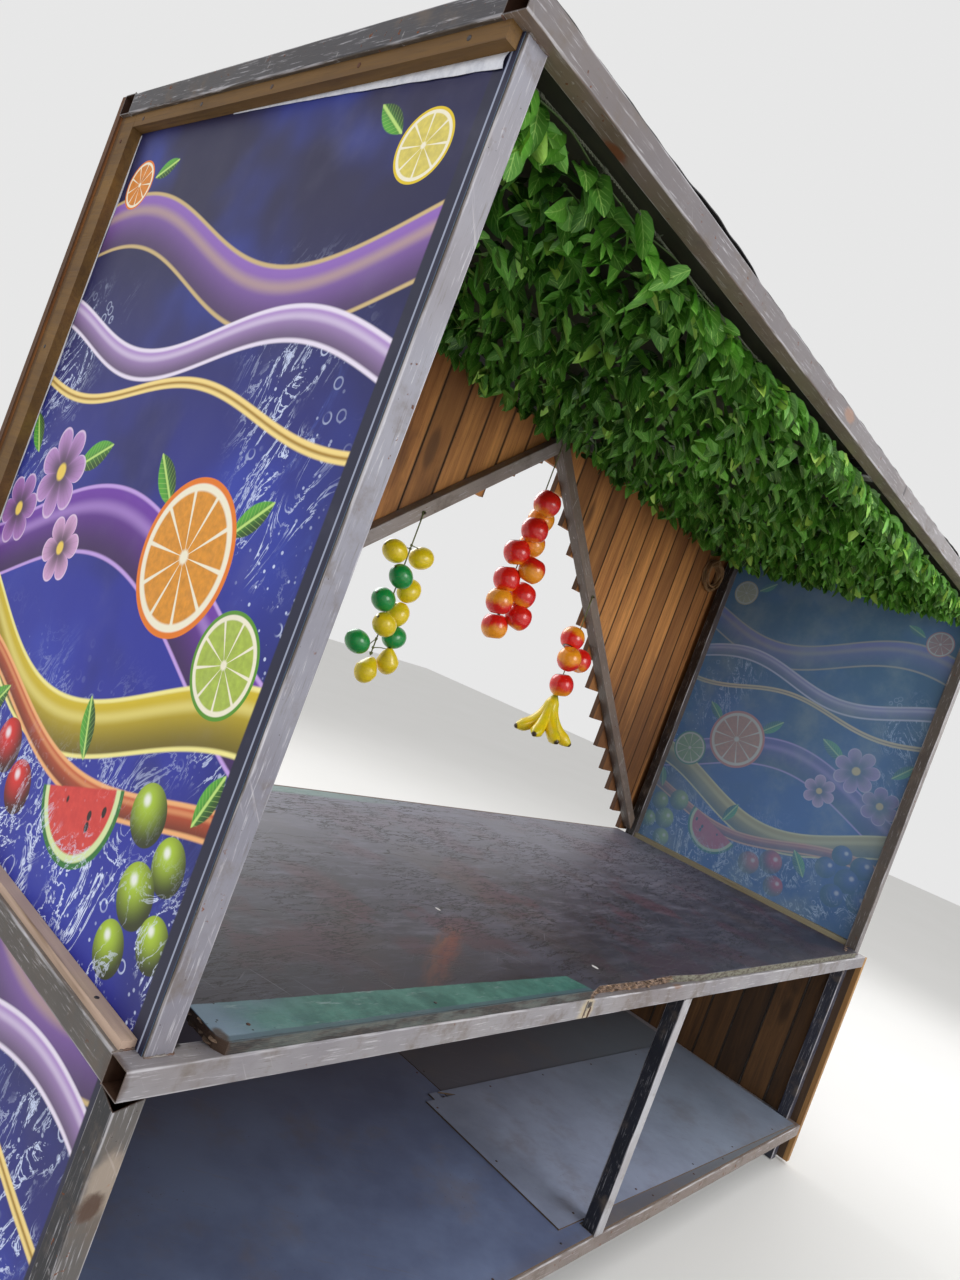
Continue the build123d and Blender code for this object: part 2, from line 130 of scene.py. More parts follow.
class Value:
    """A socket of a finish; sums, products and the rest of it add their Math nodes."""

    def __init__(self, finish, socket):
        self.finish = finish
        self.socket = socket

    def math(self, operation, *others):
        """A Math node of this value and up to two others."""
        sockets = dict(zip(("Value", "Value_001", "Value_002"), (self, *others)))
        return self.finish.node("Math", {"operation": operation}, sockets)

    def __add__(self, other):
        return self.math("ADD", other)

    def __sub__(self, other):
        return self.math("SUBTRACT", other)

    def __rsub__(self, other):
        return self.finish.node("Math", {"operation": "SUBTRACT"}, {"Value": other, "Value_001": self})

    def __mul__(self, other):
        return self.math("MULTIPLY", other)

    def __truediv__(self, other):
        return self.math("DIVIDE", other)

    __radd__ = __add__
    __rmul__ = __mul__

    def __abs__(self):
        return self.math("ABSOLUTE")

    def power(self, exponent):
        return self.math("POWER", exponent)

    def floor(self):
        return self.math("FLOOR")

    def sine(self):
        return self.math("SINE")

    def lower(self, other):
        return self.math("MINIMUM", other)

    def upper(self, other):
        return self.math("MAXIMUM", other)

    def ramp(self, low, high, smooth=True):
        """From 0 at low to 1 at high, held between; low may be the greater one."""
        kind = "SMOOTHSTEP" if smooth else "LINEAR"
        sockets = {"Value": self, "From Min": low, "From Max": high}
        return self.finish.node("MapRange", {"interpolation_type": kind}, sockets)

    def band(self, low, high, soft):
        """1 between two limits, falling to 0 within a soft margin inside them."""
        return self.ramp(low, low + soft) * self.ramp(high, high - soft)

    def between(self, below, above, mode="MIX"):
        """One colour laid over another, as much as this value says."""
        sockets = {"Factor_Float": self, "A_Color": below, "B_Color": above}
        settings = {"data_type": "RGBA", "blend_type": mode, "clamp_factor": True}
        return self.finish.node("Mix", settings, sockets, 2)

    def under(self, share, above, mode="MIX"):
        """This colour with another laid over it, as much as the share says."""
        return share.between(self, above, mode)

    def split(self):
        """The three parts of this vector."""
        node = self.finish.node("SeparateXYZ", sockets={"Vector": self}).socket.node
        return [Value(self.finish, output) for output in node.outputs]

    def stretch(self, factors):
        """This vector scaled part by part."""
        return self.finish.vectors("MULTIPLY", self, factors)

    def turned(self, angle, axis="Z_AXIS"):
        """This vector turned about an axis."""
        sockets = {"Vector": self, "Angle": angle}
        return self.finish.node("VectorRotate", {"rotation_type": axis}, sockets)

    def noise(self, scale, detail=3.0, roughness=0.55, twist=0.0):
        """Smooth noise from 0 to 1 at this point, about 0.5 on average."""
        sockets = {
            "Vector": self, "Scale": scale, "Detail": detail, "Roughness": roughness, "Distortion": twist,
        }
        return self.finish.node("TexNoise", None, sockets)

    def cells(self, scale):
        """How far this point is from the middle of the nearest of many scattered cells."""
        return self.finish.node("TexVoronoi", {"feature": "F1"}, {"Vector": self, "Scale": scale})

    def chance(self):
        """A random number from 0 to 1 for each value."""
        return self.finish.node("TexWhiteNoise", {"noise_dimensions": "1D"}, {"W": self})

    def spot(self, centre, size, edge=0.35):
        """A ragged blot round a centre: 1 inside its size in each direction, 0 outside."""
        vectors = self.finish.vectors
        near = vectors("DIVIDE", vectors("SUBTRACT", self, centre), size)
        away = self.finish.node("VectorMath", {"operation": "LENGTH"}, {"Vector": near}, 1)
        ragged = (self.noise(1.2 / max(size), 4.0, 0.65) - 0.5) * 1.1
        return (away + ragged).ramp(1.0 + edge, 1.0 - edge)


class Finish:
    """A material whose nodes all come from one method."""

    def __init__(self, name):
        self.material = bpy.data.materials.new(name)
        self.material.use_nodes = True
        self.tree = self.material.node_tree
        self.surface = self.tree.nodes["Principled BSDF"]

    def node(self, kind, settings=None, sockets=None, output=0):
        """A node of one kind: its settings first, then the values or links of its sockets."""
        node = self.tree.nodes.new("ShaderNode" + kind)
        for key, value in (settings or {}).items():
            setattr(node, key, value)
        places = {socket.identifier: socket for socket in node.inputs}
        for key, value in (sockets or {}).items():
            self.fill(places[key], value)
        return Value(self, node.outputs[output])

    def fill(self, socket, value):
        """Link a value to a socket, or set a plain number, vector or screen colour on it."""
        if isinstance(value, Value):
            self.tree.links.new(value.socket, socket)
        elif socket.type == "RGBA":
            socket.default_value = (*light_of(value), 1.0)
        else:
            socket.default_value = value

    def place(self):
        """The point in the object's own coordinates, as a vector."""
        return self.node("TexCoord", output=3)

    def facing(self):
        """The three parts of the surface's own direction."""
        return self.node("TexCoord", output=1).split()

    def join(self, x=0.0, y=0.0, z=0.0):
        """A vector of three values."""
        return self.node("CombineXYZ", sockets={"X": x, "Y": y, "Z": z})

    def vectors(self, operation, *others):
        """A Vector Math node of up to three vectors."""
        sockets = dict(zip(("Vector", "Vector_001", "Vector_002"), others))
        return self.node("VectorMath", {"operation": operation}, sockets)

    def attribute(self, name):
        """A number stored in the piece's mesh."""
        return self.node("Attribute", {"attribute_name": name}, None, 2)

    def uv(self):
        """The piece's own flat coordinates, as two values."""
        return self.node("UVMap", {"uv_map": "flat"}).split()[:2]

    def paint(self, colour, roughness, relief=None, depth=0.001, strength=0.6, **constants):
        """Connect the colour, the roughness and the relief; other names are sockets with one number."""
        self.fill(self.surface.inputs["Base Color"], colour)
        self.fill(self.surface.inputs["Roughness"], roughness)
        if relief is not None:
            sockets = {"Height": relief, "Strength": strength, "Distance": depth}
            self.fill(self.surface.inputs["Normal"], self.node("Bump", None, sockets))
        for name, value in constants.items():
            self.fill(self.surface.inputs[name.replace("_", " ")], value)
        return self.material


def worn_steel(name, along, centre=None, front=(140, 138, 144), side=(112, 110, 110), under=(96, 86, 78),
               rust=0.5, tilt=0.0, spots=()):
    """Square tube under old grey paint.

    The front and top have their own tone; the sides and the underside are painted darker as shade, the
    underside also browner with rust. Over it lie scuffs along the tube, grime, specks of rust, bare bright
    corners that also stand for a painted highlight, and a rusty bore. The centre is the tube's middle
    across its run; a first part of None stands for the two side tubes of a ring.
    """
    finish = Finish(name)
    point = finish.place()
    parts = dict(zip("xyz", point.split()))
    nx, _, nz = finish.facing()
    level = point.turned(tilt, "Y_AXIS") if tilt else point
    lengthwise = level.stretch(tuple(0.06 if axis == along else 1.0 for axis in "xyz"))
    patches = point.noise(5.0, 4.0)
    scuffs = lengthwise.noise(260.0, 4.0, 0.7)
    fine = lengthwise.noise(700.0, 2.0)
    # Painted shade: the sides, and the underside below them, take darker tones than the front and top
    base = abs(nx).ramp(0.5, 0.8).between(front, side)
    base = base.under((0.0 - nz).ramp(0.5, 0.8), under)
    base = base.under(patches.ramp(0.35, 0.7) * 0.55, (196, 190, 198), "MULTIPLY")
    warm = point.noise(2.3, 3.0).ramp(0.45, 0.65) * 0.35
    base = base.under(warm, (226, 206, 186), "MULTIPLY")
    base = base.under(scuffs.ramp(0.56, 0.72) * 0.5, (214, 212, 218))
    base = base.under(scuffs.ramp(0.42, 0.28) * 0.55, (98, 90, 86))
    slant = level.turned(0.6, "Y_AXIS").stretch((1.0, 1.0, 0.05)).noise(90.0, 3.0, 0.6)
    base = base.under(slant.ramp(0.66, 0.74) * 0.28, (216, 212, 214))
    grime = point.noise(14.0, 5.0, 0.65).ramp(0.50, 0.72) * 0.7
    base = base.under(grime, (104, 92, 82))
    specks = point.noise(85.0, 3.0, 0.6)
    spread = point.noise(9.0).ramp(0.62 - 0.3 * rust, 0.78 - 0.3 * rust)
    spots_of_rust = specks.ramp(0.68 - 0.05 * rust, 0.74 - 0.04 * rust) * spread
    crust = fine.ramp(0.3, 0.7).between((70, 38, 22), (132, 74, 38))
    pin = point.cells(95.0).ramp(0.10, 0.05) * point.noise(21.0).ramp(0.52, 0.60)
    base = base.under(pin * 0.85, (46, 36, 32))
    colour = base.under(spots_of_rust, crust)
    roughness = 0.40 + 0.25 * grime + 0.35 * spots_of_rust + 0.1 * fine
    relief = scuffs * 0.3 + spots_of_rust * 0.8 + fine * 0.2 - pin * 0.5
    if centre:
        axes = [axis for axis in "xyz" if axis != along]
        first, second = centre
        if first is None:
            across = abs(parts["x"] - (LEFT + RIGHT) / 2) - ((RIGHT - LEFT) / 2 - HALF)
        else:
            across = parts[axes[0]] - first
        across, height = abs(across), abs(parts[axes[1]] - second)
        # Bare worn paint along the tube's corners, lightened also as a painted highlight on the edges
        corner = across.lower(height).ramp(0.0158, 0.0185)
        edge_wear_and_highlight = corner * lengthwise.noise(120.0, 3.0).ramp(0.42, 0.6)
        colour = colour.under(edge_wear_and_highlight * 0.5, (222, 220, 226))
        bore = across.upper(height).ramp(0.0190, 0.0186)
        hollow = point.noise(60.0, 4.0).between((30, 20, 16), (74, 48, 34))
        colour = colour.under(bore, hollow)
    for place, size, tone, share in spots:
        mark = point.spot(place, size)
        colour = colour.under(mark * share, tone)
        relief = relief - mark * 0.6
    return finish.paint(colour, roughness, relief, 0.0012, 0.5, Specular_IOR_Level=0.5)


def timber(name, light, dark, across=None, along="z", start=0.0, pitch=1.0, knots=0.6, rims=(),
           weather=0.0):
    """Sawn softwood: each board has its own shade, with grain, streaks and a few knots.

    Each rim is (axis, low, high, soft, colour, share): a band of the board in another colour, which the
    calls use for raw wood, wear and painted shade.
    """
    finish = Finish(name)
    point = finish.place()
    parts = dict(zip("xyz", point.split()))
    if across:
        place = (parts[across] - start) / pitch
        board = place.floor()
        own = (board + 3.7).chance()
        shift = (board + 11.3).chance()
        moved = finish.vectors("ADD", point, finish.join(shift * 9.0, shift * 5.0, shift * 7.0))
    else:
        own = point.noise(1.7, 1.0)
        moved = point
    lengthwise = moved.stretch(tuple(0.05 if axis == along else 1.0 for axis in "xyz"))
    bend = moved.noise(3.0, 2.0)
    grain = lengthwise.noise(95.0, 4.0, 0.65, 0.6)
    rings = (lengthwise.noise(26.0, 3.0, 0.5, 1.0) * 26.0 + bend * 6.0).sine() * 0.5 + 0.5
    pores = lengthwise.noise(420.0, 2.0)
    broad = lengthwise.noise(17.0, 2.0, 0.5)
    figure = rings * 0.18 + grain.ramp(0.25, 0.75) * 0.32 + broad.ramp(0.25, 0.75) * 0.5
    tone = figure.between(dark, light)
    tone = tone.under(own.power(1.5) * 0.62, shade(dark, 0.66))
    tone = tone.under(pores.ramp(0.46, 0.28) * 0.25, shade(dark, 0.55))
    knot_place = moved.stretch(tuple(0.35 if axis == along else 1.0 for axis in "xyz"))
    knot = knot_place.cells(5.5).ramp(0.17, 0.10) * knots
    tone = tone.under(knot, shade(dark, 0.42))
    soiled = moved.stretch((1.0, 1.0, 0.4)).noise(4.5, 5.0, 0.68).ramp(0.50, 0.70) * weather
    colour = tone.under(soiled, shade(dark, 0.55))
    if across:
        inside = place - board
        joint = inside.lower(1.0 - inside).ramp(0.075, 0.020)
        colour = colour.under(joint * 0.8, shade(dark, 0.22))
    for axis, low, high, soft, rim, share in rims:
        wear_and_shade_band = parts[axis].band(low, high, soft) * lengthwise.noise(60.0, 3.0).ramp(0.15, 0.5)
        colour = colour.under(wear_and_shade_band * share, rim)
    fleck = moved.cells(60.0).ramp(0.11, 0.05) * moved.noise(7.0).ramp(0.5, 0.62)
    colour = colour.under(fleck * 0.7, (52, 34, 20))
    relief = grain * 0.5 + pores * 0.3 + rings * 0.4
    return finish.paint(colour, 0.60 + 0.2 * grain, relief, 0.0015, 0.5)


def film_ply():
    """Counter: slate film-faced ply with cracks, scratches, a teal band at the front left, raw edges."""
    finish = Finish("counter_ply")
    point = finish.place()
    x, y, z = point.split()
    cloud = point.noise(3.4, 5.0, 0.6)
    streak = point.stretch((0.22, 1.0, 1.0)).noise(26.0, 5.0, 0.7)
    base = cloud.ramp(0.3, 0.7).between((52, 50, 60), (90, 88, 102))
    base = base.under(streak.ramp(0.46, 0.72) * 0.65, (122, 120, 136))
    base = base.under(streak.ramp(0.46, 0.30) * 0.55, (40, 36, 44))
    purple = point.noise(5.1, 3.0).ramp(0.50, 0.62) * 0.60
    base = base.under(purple, (92, 54, 64))
    brown = point.stretch((1.0, 0.5, 1.0)).noise(2.2, 4.0).ramp(0.52, 0.66) * 0.5
    base = base.under(brown, (82, 66, 56))
    # Painted light: the board turns lighter and bluer towards the back
    base = base.under(y.ramp(-0.20, 0.35) * (0.34 + 0.40 * cloud), (146, 144, 158))
    base = base.under(x.ramp(0.25, 1.1) * 0.14, (66, 56, 64))
    # An orange-brown streak at the front left: a stain with a painted warm reflection in it
    slanting = finish.vectors("SUBTRACT", point, (-0.735, -0.366, COUNTER_TOP)).turned(-0.607)
    glow = slanting.spot((0.0, 0.0, 0.0), (0.165, 0.024, 0.1), 0.6)
    glow = glow * slanting.stretch((0.15, 1.0, 1.0)).noise(90.0, 3.0).ramp(0.25, 0.6)
    base = base.under(glow * 0.75, (152, 92, 60))
    ember = slanting.spot((0.035, -0.006, 0.0), (0.110, 0.014, 0.1), 0.5)
    base = base.under(ember * 0.5, (136, 54, 44))
    base = base.under(y.ramp(-0.20, -0.44) * 0.62, (38, 38, 50))
    split_way = point.turned(-0.15).stretch((0.20, 1.0, 1.0)).noise(34.0, 5.0, 0.72)
    split = abs(split_way - 0.5).ramp(0.024, 0.007) * point.noise(3.6, 3.0).ramp(0.41, 0.53)
    base = base.under(split * 0.9, (20, 17, 22))
    wander = point.stretch((0.55, 2.6, 1.0)).noise(3.2, 4.0, 0.5, 0.3)
    crack = abs(wander - 0.5).ramp(0.0048, 0.0012) * y.ramp(-0.34, -0.08) * x.ramp(0.75, 0.2)
    base = base.under(crack * 0.85, (34, 26, 28))
    ripple = point.stretch((0.3, 3.0, 1.0)).noise(30.0, 3.0, 0.6)
    crease = abs(ripple - 0.5).ramp(0.024, 0.004) * point.noise(5.0).ramp(0.44, 0.58)
    base = base.under(crease * 0.65, (36, 32, 40))
    for angle, scale in ((0.5, 240.0), (1.25, 190.0), (-0.7, 210.0)):
        line = point.turned(angle).stretch((0.03, 1.0, 1.0)).noise(scale, 2.0)
        base = base.under(line.ramp(0.69, 0.76) * 0.26, (152, 150, 162))
    pits = point.cells(75.0).ramp(0.13, 0.07)
    worn_place = point.spot((0.85, -0.22, COUNTER_TOP), (0.16, 0.07, 0.1), 0.5)
    pits = pits * (worn_place + point.noise(3.0).ramp(0.60, 0.66)).lower(1.0)
    base = base.under(pits * 0.85, (30, 26, 30))
    for chip_x, chip_y, size in ((-0.3225, -0.4527, 0.0055), (-0.567, -0.1865, 0.0045)):
        chip = point.spot((chip_x, chip_y, COUNTER_TOP), (size, size * 1.6, 0.02), 0.15)
        base = base.under(chip, (222, 220, 218))
    ragged = point.noise(40.0, 4.0) * 0.006
    slanted = y + (x + 1.289) * 0.0339 + 0.4454
    front = (slanted + ragged - 0.003).ramp(0.0012, -0.0012)
    reach = (x + (y - FRONT) * 0.35 + ragged).ramp(-0.4380, -0.4420)
    teal = point.noise(12.0, 5.0, 0.7).ramp(0.35, 0.7).between((42, 96, 88), (80, 134, 122))
    faded = (x + point.noise(9.0, 4.0) * 0.25).ramp(-1.02, -1.22)
    teal = teal.under(faded * 0.8, (124, 142, 164))
    rubbed = point.stretch((0.2, 1.0, 1.0)).noise(60.0, 4.0, 0.7)
    teal = teal.under(rubbed.ramp(0.58, 0.70) * 0.55, (150, 170, 170))
    teal = teal.under(point.cells(60.0).ramp(0.14, 0.06) * cloud.ramp(0.45, 0.6), (30, 44, 48))
    lip = (y - FRONT + ragged * 0.6).ramp(0.0190, 0.0150) * 0.8
    teal = teal.under(lip, (70, 92, 104))
    lip_dark = (y - FRONT + ragged).ramp(0.0100, 0.0070) * 0.75
    teal = teal.under(lip_dark, (44, 50, 54))
    base = base.under(front * reach, teal)
    back_line = (y + ragged).ramp(BACK - 0.052, BACK - 0.030) * (x + cloud * 0.3).ramp(0.3, -0.3)
    base = base.under(back_line * 0.65, (128, 160, 152))
    base = base.under((y + ragged).ramp(BACK + 0.004, BACK + 0.008), (92, 66, 50))
    edge = z.ramp(COUNTER_TOP - 0.0008, COUNTER_TOP - 0.0015, False)
    plies = ((z * 2100.0).sine() * 0.5 + 0.5) * 0.6 + point.noise(160.0, 3.0) * 0.4
    raw = plies.between((80, 58, 48), (178, 150, 128))
    torn = point.stretch((0.6, 1.0, 1.6)).noise(85.0, 4.0, 0.75)
    raw = raw.under(torn.ramp(0.44, 0.56) * 0.75, (56, 40, 32))
    grey_edge = x.ramp(-0.09, -0.07)
    raw = raw.under(grey_edge * 0.85, torn.ramp(0.38, 0.60).between((44, 42, 38), (124, 124, 108)))
    painted = x.ramp(-0.445, -0.450)
    patchy = point.stretch((0.2, 1.0, 1.0)).noise(36.0, 4.0, 0.7).ramp(0.42, 0.58)
    raw = raw.under(painted * 0.9, patchy.between((38, 38, 40), (76, 84, 82)))
    broken = x.ramp(-1.318, -1.322)
    rusty = point.noise(70.0, 4.0, 0.7)
    raw = raw.under(broken, rusty.between((24, 18, 15), (88, 60, 42)))
    colour = base.under(edge, raw)
    corner = point.spot((-1.3235, -0.520, COUNTER + 0.010), (0.011, 0.022, 0.02), 0.3)
    colour = colour.under(corner * 0.9, (62, 44, 32))
    roughness = 0.30 + 0.25 * cloud + 0.3 * edge + 0.12 * streak
    relief = streak * 0.25 - crack * 1.0 - crease * 0.5 - pits * 0.5 + edge * plies * 0.5
    return finish.paint(colour, roughness, relief, 0.0012, 0.6)


def sheet_face():
    """Shelf sheets: grey-white hardboard, stained, with painted shade darker towards the back, marks and
    crumbs.
    """
    finish = Finish("shelf_face")
    point = finish.place()
    x, y, z = point.split()
    cloud = point.noise(3.2, 5.0, 0.62)
    base = cloud.ramp(0.3, 0.7).between((90, 100, 132), (116, 130, 164))
    base = base.under(x.ramp(MIDDLE - 0.001, MIDDLE + 0.001) * 0.8, (94, 92, 96))
    upper_sheet = z.ramp(SHELF + 0.0045, SHELF + 0.0075)
    pale = cloud.ramp(0.3, 0.7).between((126, 134, 158), (158, 168, 194))
    base = base.under(upper_sheet, pale)
    base = base.under(x.ramp(0.3, 1.0) * 0.2, (150, 178, 190))
    stain = point.noise(5.5, 4.0, 0.7).ramp(0.5, 0.72)
    base = base.under(stain * 0.4, (118, 108, 106))
    # Painted shade: darker towards the back, under the counter
    deep = y.ramp(-0.40, 0.40) * (0.5 + 0.4 * cloud)
    base = base.under(deep, (66, 60, 62))
    base = base.under(upper_sheet * x.ramp(0.25, 1.10) * 0.35, (92, 98, 112))
    scuff = point.turned(0.7).stretch((0.1, 1.0, 1.0)).noise(120.0, 3.0).ramp(0.62, 0.72)
    base = base.under(scuff * 0.3, (112, 108, 116))
    crumb = point.cells(70.0).ramp(0.10, 0.06) * point.noise(6.0).ramp(0.52, 0.66)
    base = base.under(crumb * 0.8, (66, 52, 42))
    soiled = point.noise(30.0, 4.0) * (y.ramp(-0.490, -0.520) + 0.35 * upper_sheet)
    base = base.under(soiled * 0.45, (96, 86, 76))
    sawn = abs(finish.facing()[2]).ramp(0.5, 0.3)
    colour = base.under(sawn, (96, 78, 60))
    return finish.paint(colour, 0.45 + 0.25 * cloud, cloud * 0.4 + crumb * 0.5, 0.001, 0.4)


def leaf_cloth():
    """Artificial leaves: deep to bright green, a pale rib and side veins, each leaf with its own tone,
    which in the mat also holds painted shade.
    """
    finish = Finish("leaf_cloth")
    along, side = finish.uv()
    own = finish.attribute("tone")
    point = finish.place()
    rib = abs(side).ramp(0.085, 0.02)
    veins = ((along * 6.0 - abs(side) * 2.1) * 6.2832).sine().ramp(0.66, 0.96) * abs(side).ramp(1.0, 0.4)
    base = own.ramp(0.0, 0.6, False).between((14, 44, 12), (110, 184, 58))
    base = base.under(own.ramp(0.6, 1.0, False), (188, 224, 96))
    cloud = point.noise(30.0, 3.0)
    base = base.under(cloud.ramp(0.4, 0.7) * 0.35, (50, 110, 30))
    base = base.under(rib * 0.5 + veins * 0.28, (172, 216, 112))
    colour = base.under(abs(side).ramp(0.78, 1.0) * 0.25, (40, 96, 28))
    relief = 0.5 * rib + 0.4 * veins + point.noise(900.0, 2.0) * 0.2
    return finish.paint(colour, 0.40 + 0.15 * cloud, relief, 0.0008, 0.6, Specular_IOR_Level=0.45)


def vine_bark():
    """Green-brown stems and wires of the leaf mat, with darker rings."""
    finish = Finish("vine_bark")
    point = finish.place()
    mottle = point.noise(70.0, 4.0, 0.6)
    own = finish.attribute("tone")
    green = mottle.between((36, 64, 26), (84, 104, 52))
    wire = mottle.between((70, 72, 66), (142, 142, 128))
    dry = mottle.between((96, 66, 40), (172, 132, 88))
    colour = own.ramp(0.3, 0.6).between(green, wire)
    colour = colour.under(own.ramp(0.7, 0.95), dry)
    return finish.paint(colour, 0.6 + 0.15 * mottle, mottle, 0.001, 0.6)


def gloss_fruit(name, ripe, blush, unripe, pit=0.0):
    """Artificial fruit, glossy: ripe colour above, the blush from below as its own number says.

    The attribute "green" turns a fruit unripe, and fine pores roughen lemons.
    """
    finish = Finish(name)
    own = finish.attribute("tone")
    height = finish.attribute("height")
    point = finish.place()
    mottle = point.noise(34.0, 4.0, 0.6)
    line = height + (mottle - 0.5) * 0.55 - own
    base = line.ramp(0.16, -0.16).between(ripe, blush)
    base = base.under(finish.attribute("green"), unripe)
    base = base.under(mottle.ramp(0.55, 0.8) * 0.3, (120, 100, 30), "MULTIPLY")
    streaks = finish.join(height * 2.0, point.noise(60.0) * 3.0, own).noise(9.0, 3.0)
    base = base.under(streaks.ramp(0.5, 0.7) * 0.25, shade(ripe, 0.6))
    colour = base.under(height.ramp(0.975, 1.0), (60, 48, 22))
    pores = point.cells(520.0).ramp(0.5, 0.1)
    roughness = 0.20 + 0.12 * mottle
    return finish.paint(colour, roughness, mottle * 0.3 - pores * pit, 0.0008, 0.5, Coat_Weight=0.3)


def banana_skin():
    """Artificial bananas: yellow with greenish flanks, brown tips and small freckles."""
    finish = Finish("banana_skin")
    height = finish.attribute("height")
    point = finish.place()
    mottle = point.noise(24.0, 4.0)
    base = mottle.ramp(0.35, 0.7).between((244, 210, 20), (220, 204, 24))
    base = base.under(height.ramp(0.14, 0.02), (130, 142, 34))
    freckle = point.cells(130.0).ramp(0.16, 0.08) * point.noise(16.0).ramp(0.45, 0.6)
    base = base.under(freckle * 0.5, (132, 96, 20))
    colour = base.under(height.ramp(0.955, 0.985), (64, 46, 20))
    return finish.paint(colour, 0.30 + 0.1 * mottle, mottle, 0.001, 0.3, Coat_Weight=0.2)


def twine():
    """Twisted garland string, grey-green."""
    finish = Finish("twine")
    x, _, z = finish.place().split()
    twist = ((z * 620.0 + x * 500.0) * 6.2832).sine() * 0.5 + 0.5
    fibre = finish.place().noise(300.0, 3.0)
    colour = twist.between((70, 78, 44), (140, 142, 92))
    colour = colour.under(fibre.ramp(0.5, 0.7) * 0.4, (48, 52, 32))
    return finish.paint(colour, 0.75 + 0.1 * twist, twist, 0.0006, 0.6)


def roofing():
    """Black roofing sheet: dull, dusty, creased."""
    finish = Finish("roofing_sheet")
    point = finish.place()
    crease = point.stretch((1.0, 0.3, 1.0)).noise(9.0, 5.0, 0.6, 0.8)
    dust = point.noise(3.0, 5.0, 0.65)
    grit = point.noise(420.0, 2.0)
    colour = (dust.ramp(0.4, 0.75) * 0.6).between((26, 26, 30), (92, 88, 84))
    colour = colour.under(grit.ramp(0.55, 0.7) * 0.3, (110, 108, 106))
    return finish.paint(colour, 0.5 + 0.3 * dust, crease + grit * 0.1, 0.006, 0.6)


def ceiling_ply():
    """Raw plywood over the roof rails: greenish brown, stained, with broad grain."""
    finish = Finish("ceiling_ply")
    point = finish.place()
    grain = point.stretch((0.08, 1.0, 1.0)).noise(60.0, 4.0, 0.65, 0.5)
    damp = point.noise(2.4, 4.0, 0.6)
    base = grain.between((46, 48, 36), (78, 76, 56))
    colour = base.under(damp.ramp(0.45, 0.7) * 0.7, (34, 42, 32))
    return finish.paint(colour, 0.7 + 0.15 * grain, grain, 0.001, 0.5)


def hem_cloth():
    """White edge of the printed cloth, creased, greyer along the creases as painted shade, a little dirty.
    """
    finish = Finish("hem_cloth")
    point = finish.place()
    crease = point.noise(60.0, 4.0, 0.6)
    # Painted shade: blue-grey along the creases
    colour = (crease.ramp(0.4, 0.8) * 0.5).between((216, 218, 226), (140, 146, 166))
    return finish.paint(colour, 0.55 + 0.1 * crease, crease, 0.003, 0.6)


def rusty_metal(name, bright, dull):
    """Weld beads, nails and screws: dull metal with rust in patches."""
    finish = Finish(name)
    point = finish.place()
    patch = point.noise(120.0, 4.0, 0.65)
    rust = point.noise(26.0, 3.0).ramp(0.42, 0.6)
    base = patch.between(dull, bright)
    colour = base.under(rust * 0.7, patch.between((58, 34, 22), (124, 76, 46)))
    return finish.paint(colour, 0.45 + 0.3 * rust, patch, 0.0006, 0.6, Metallic=0.35)


def raw_splinters():
    """Torn plies of the counter board: tan and brown layers with fibres along them."""
    finish = Finish("raw_splinters")
    point = finish.place()
    own = finish.attribute("tone")
    fibre = point.stretch((0.3, 1.0, 3.0)).noise(300.0, 3.0, 0.65)
    base = own.between((50, 36, 29), (196, 164, 136))
    colour = base.under(fibre.ramp(0.35, 0.65) * 0.5, (62, 42, 32))
    return finish.paint(colour, 0.8 + 0.1 * fibre, fibre, 0.0008, 0.6)


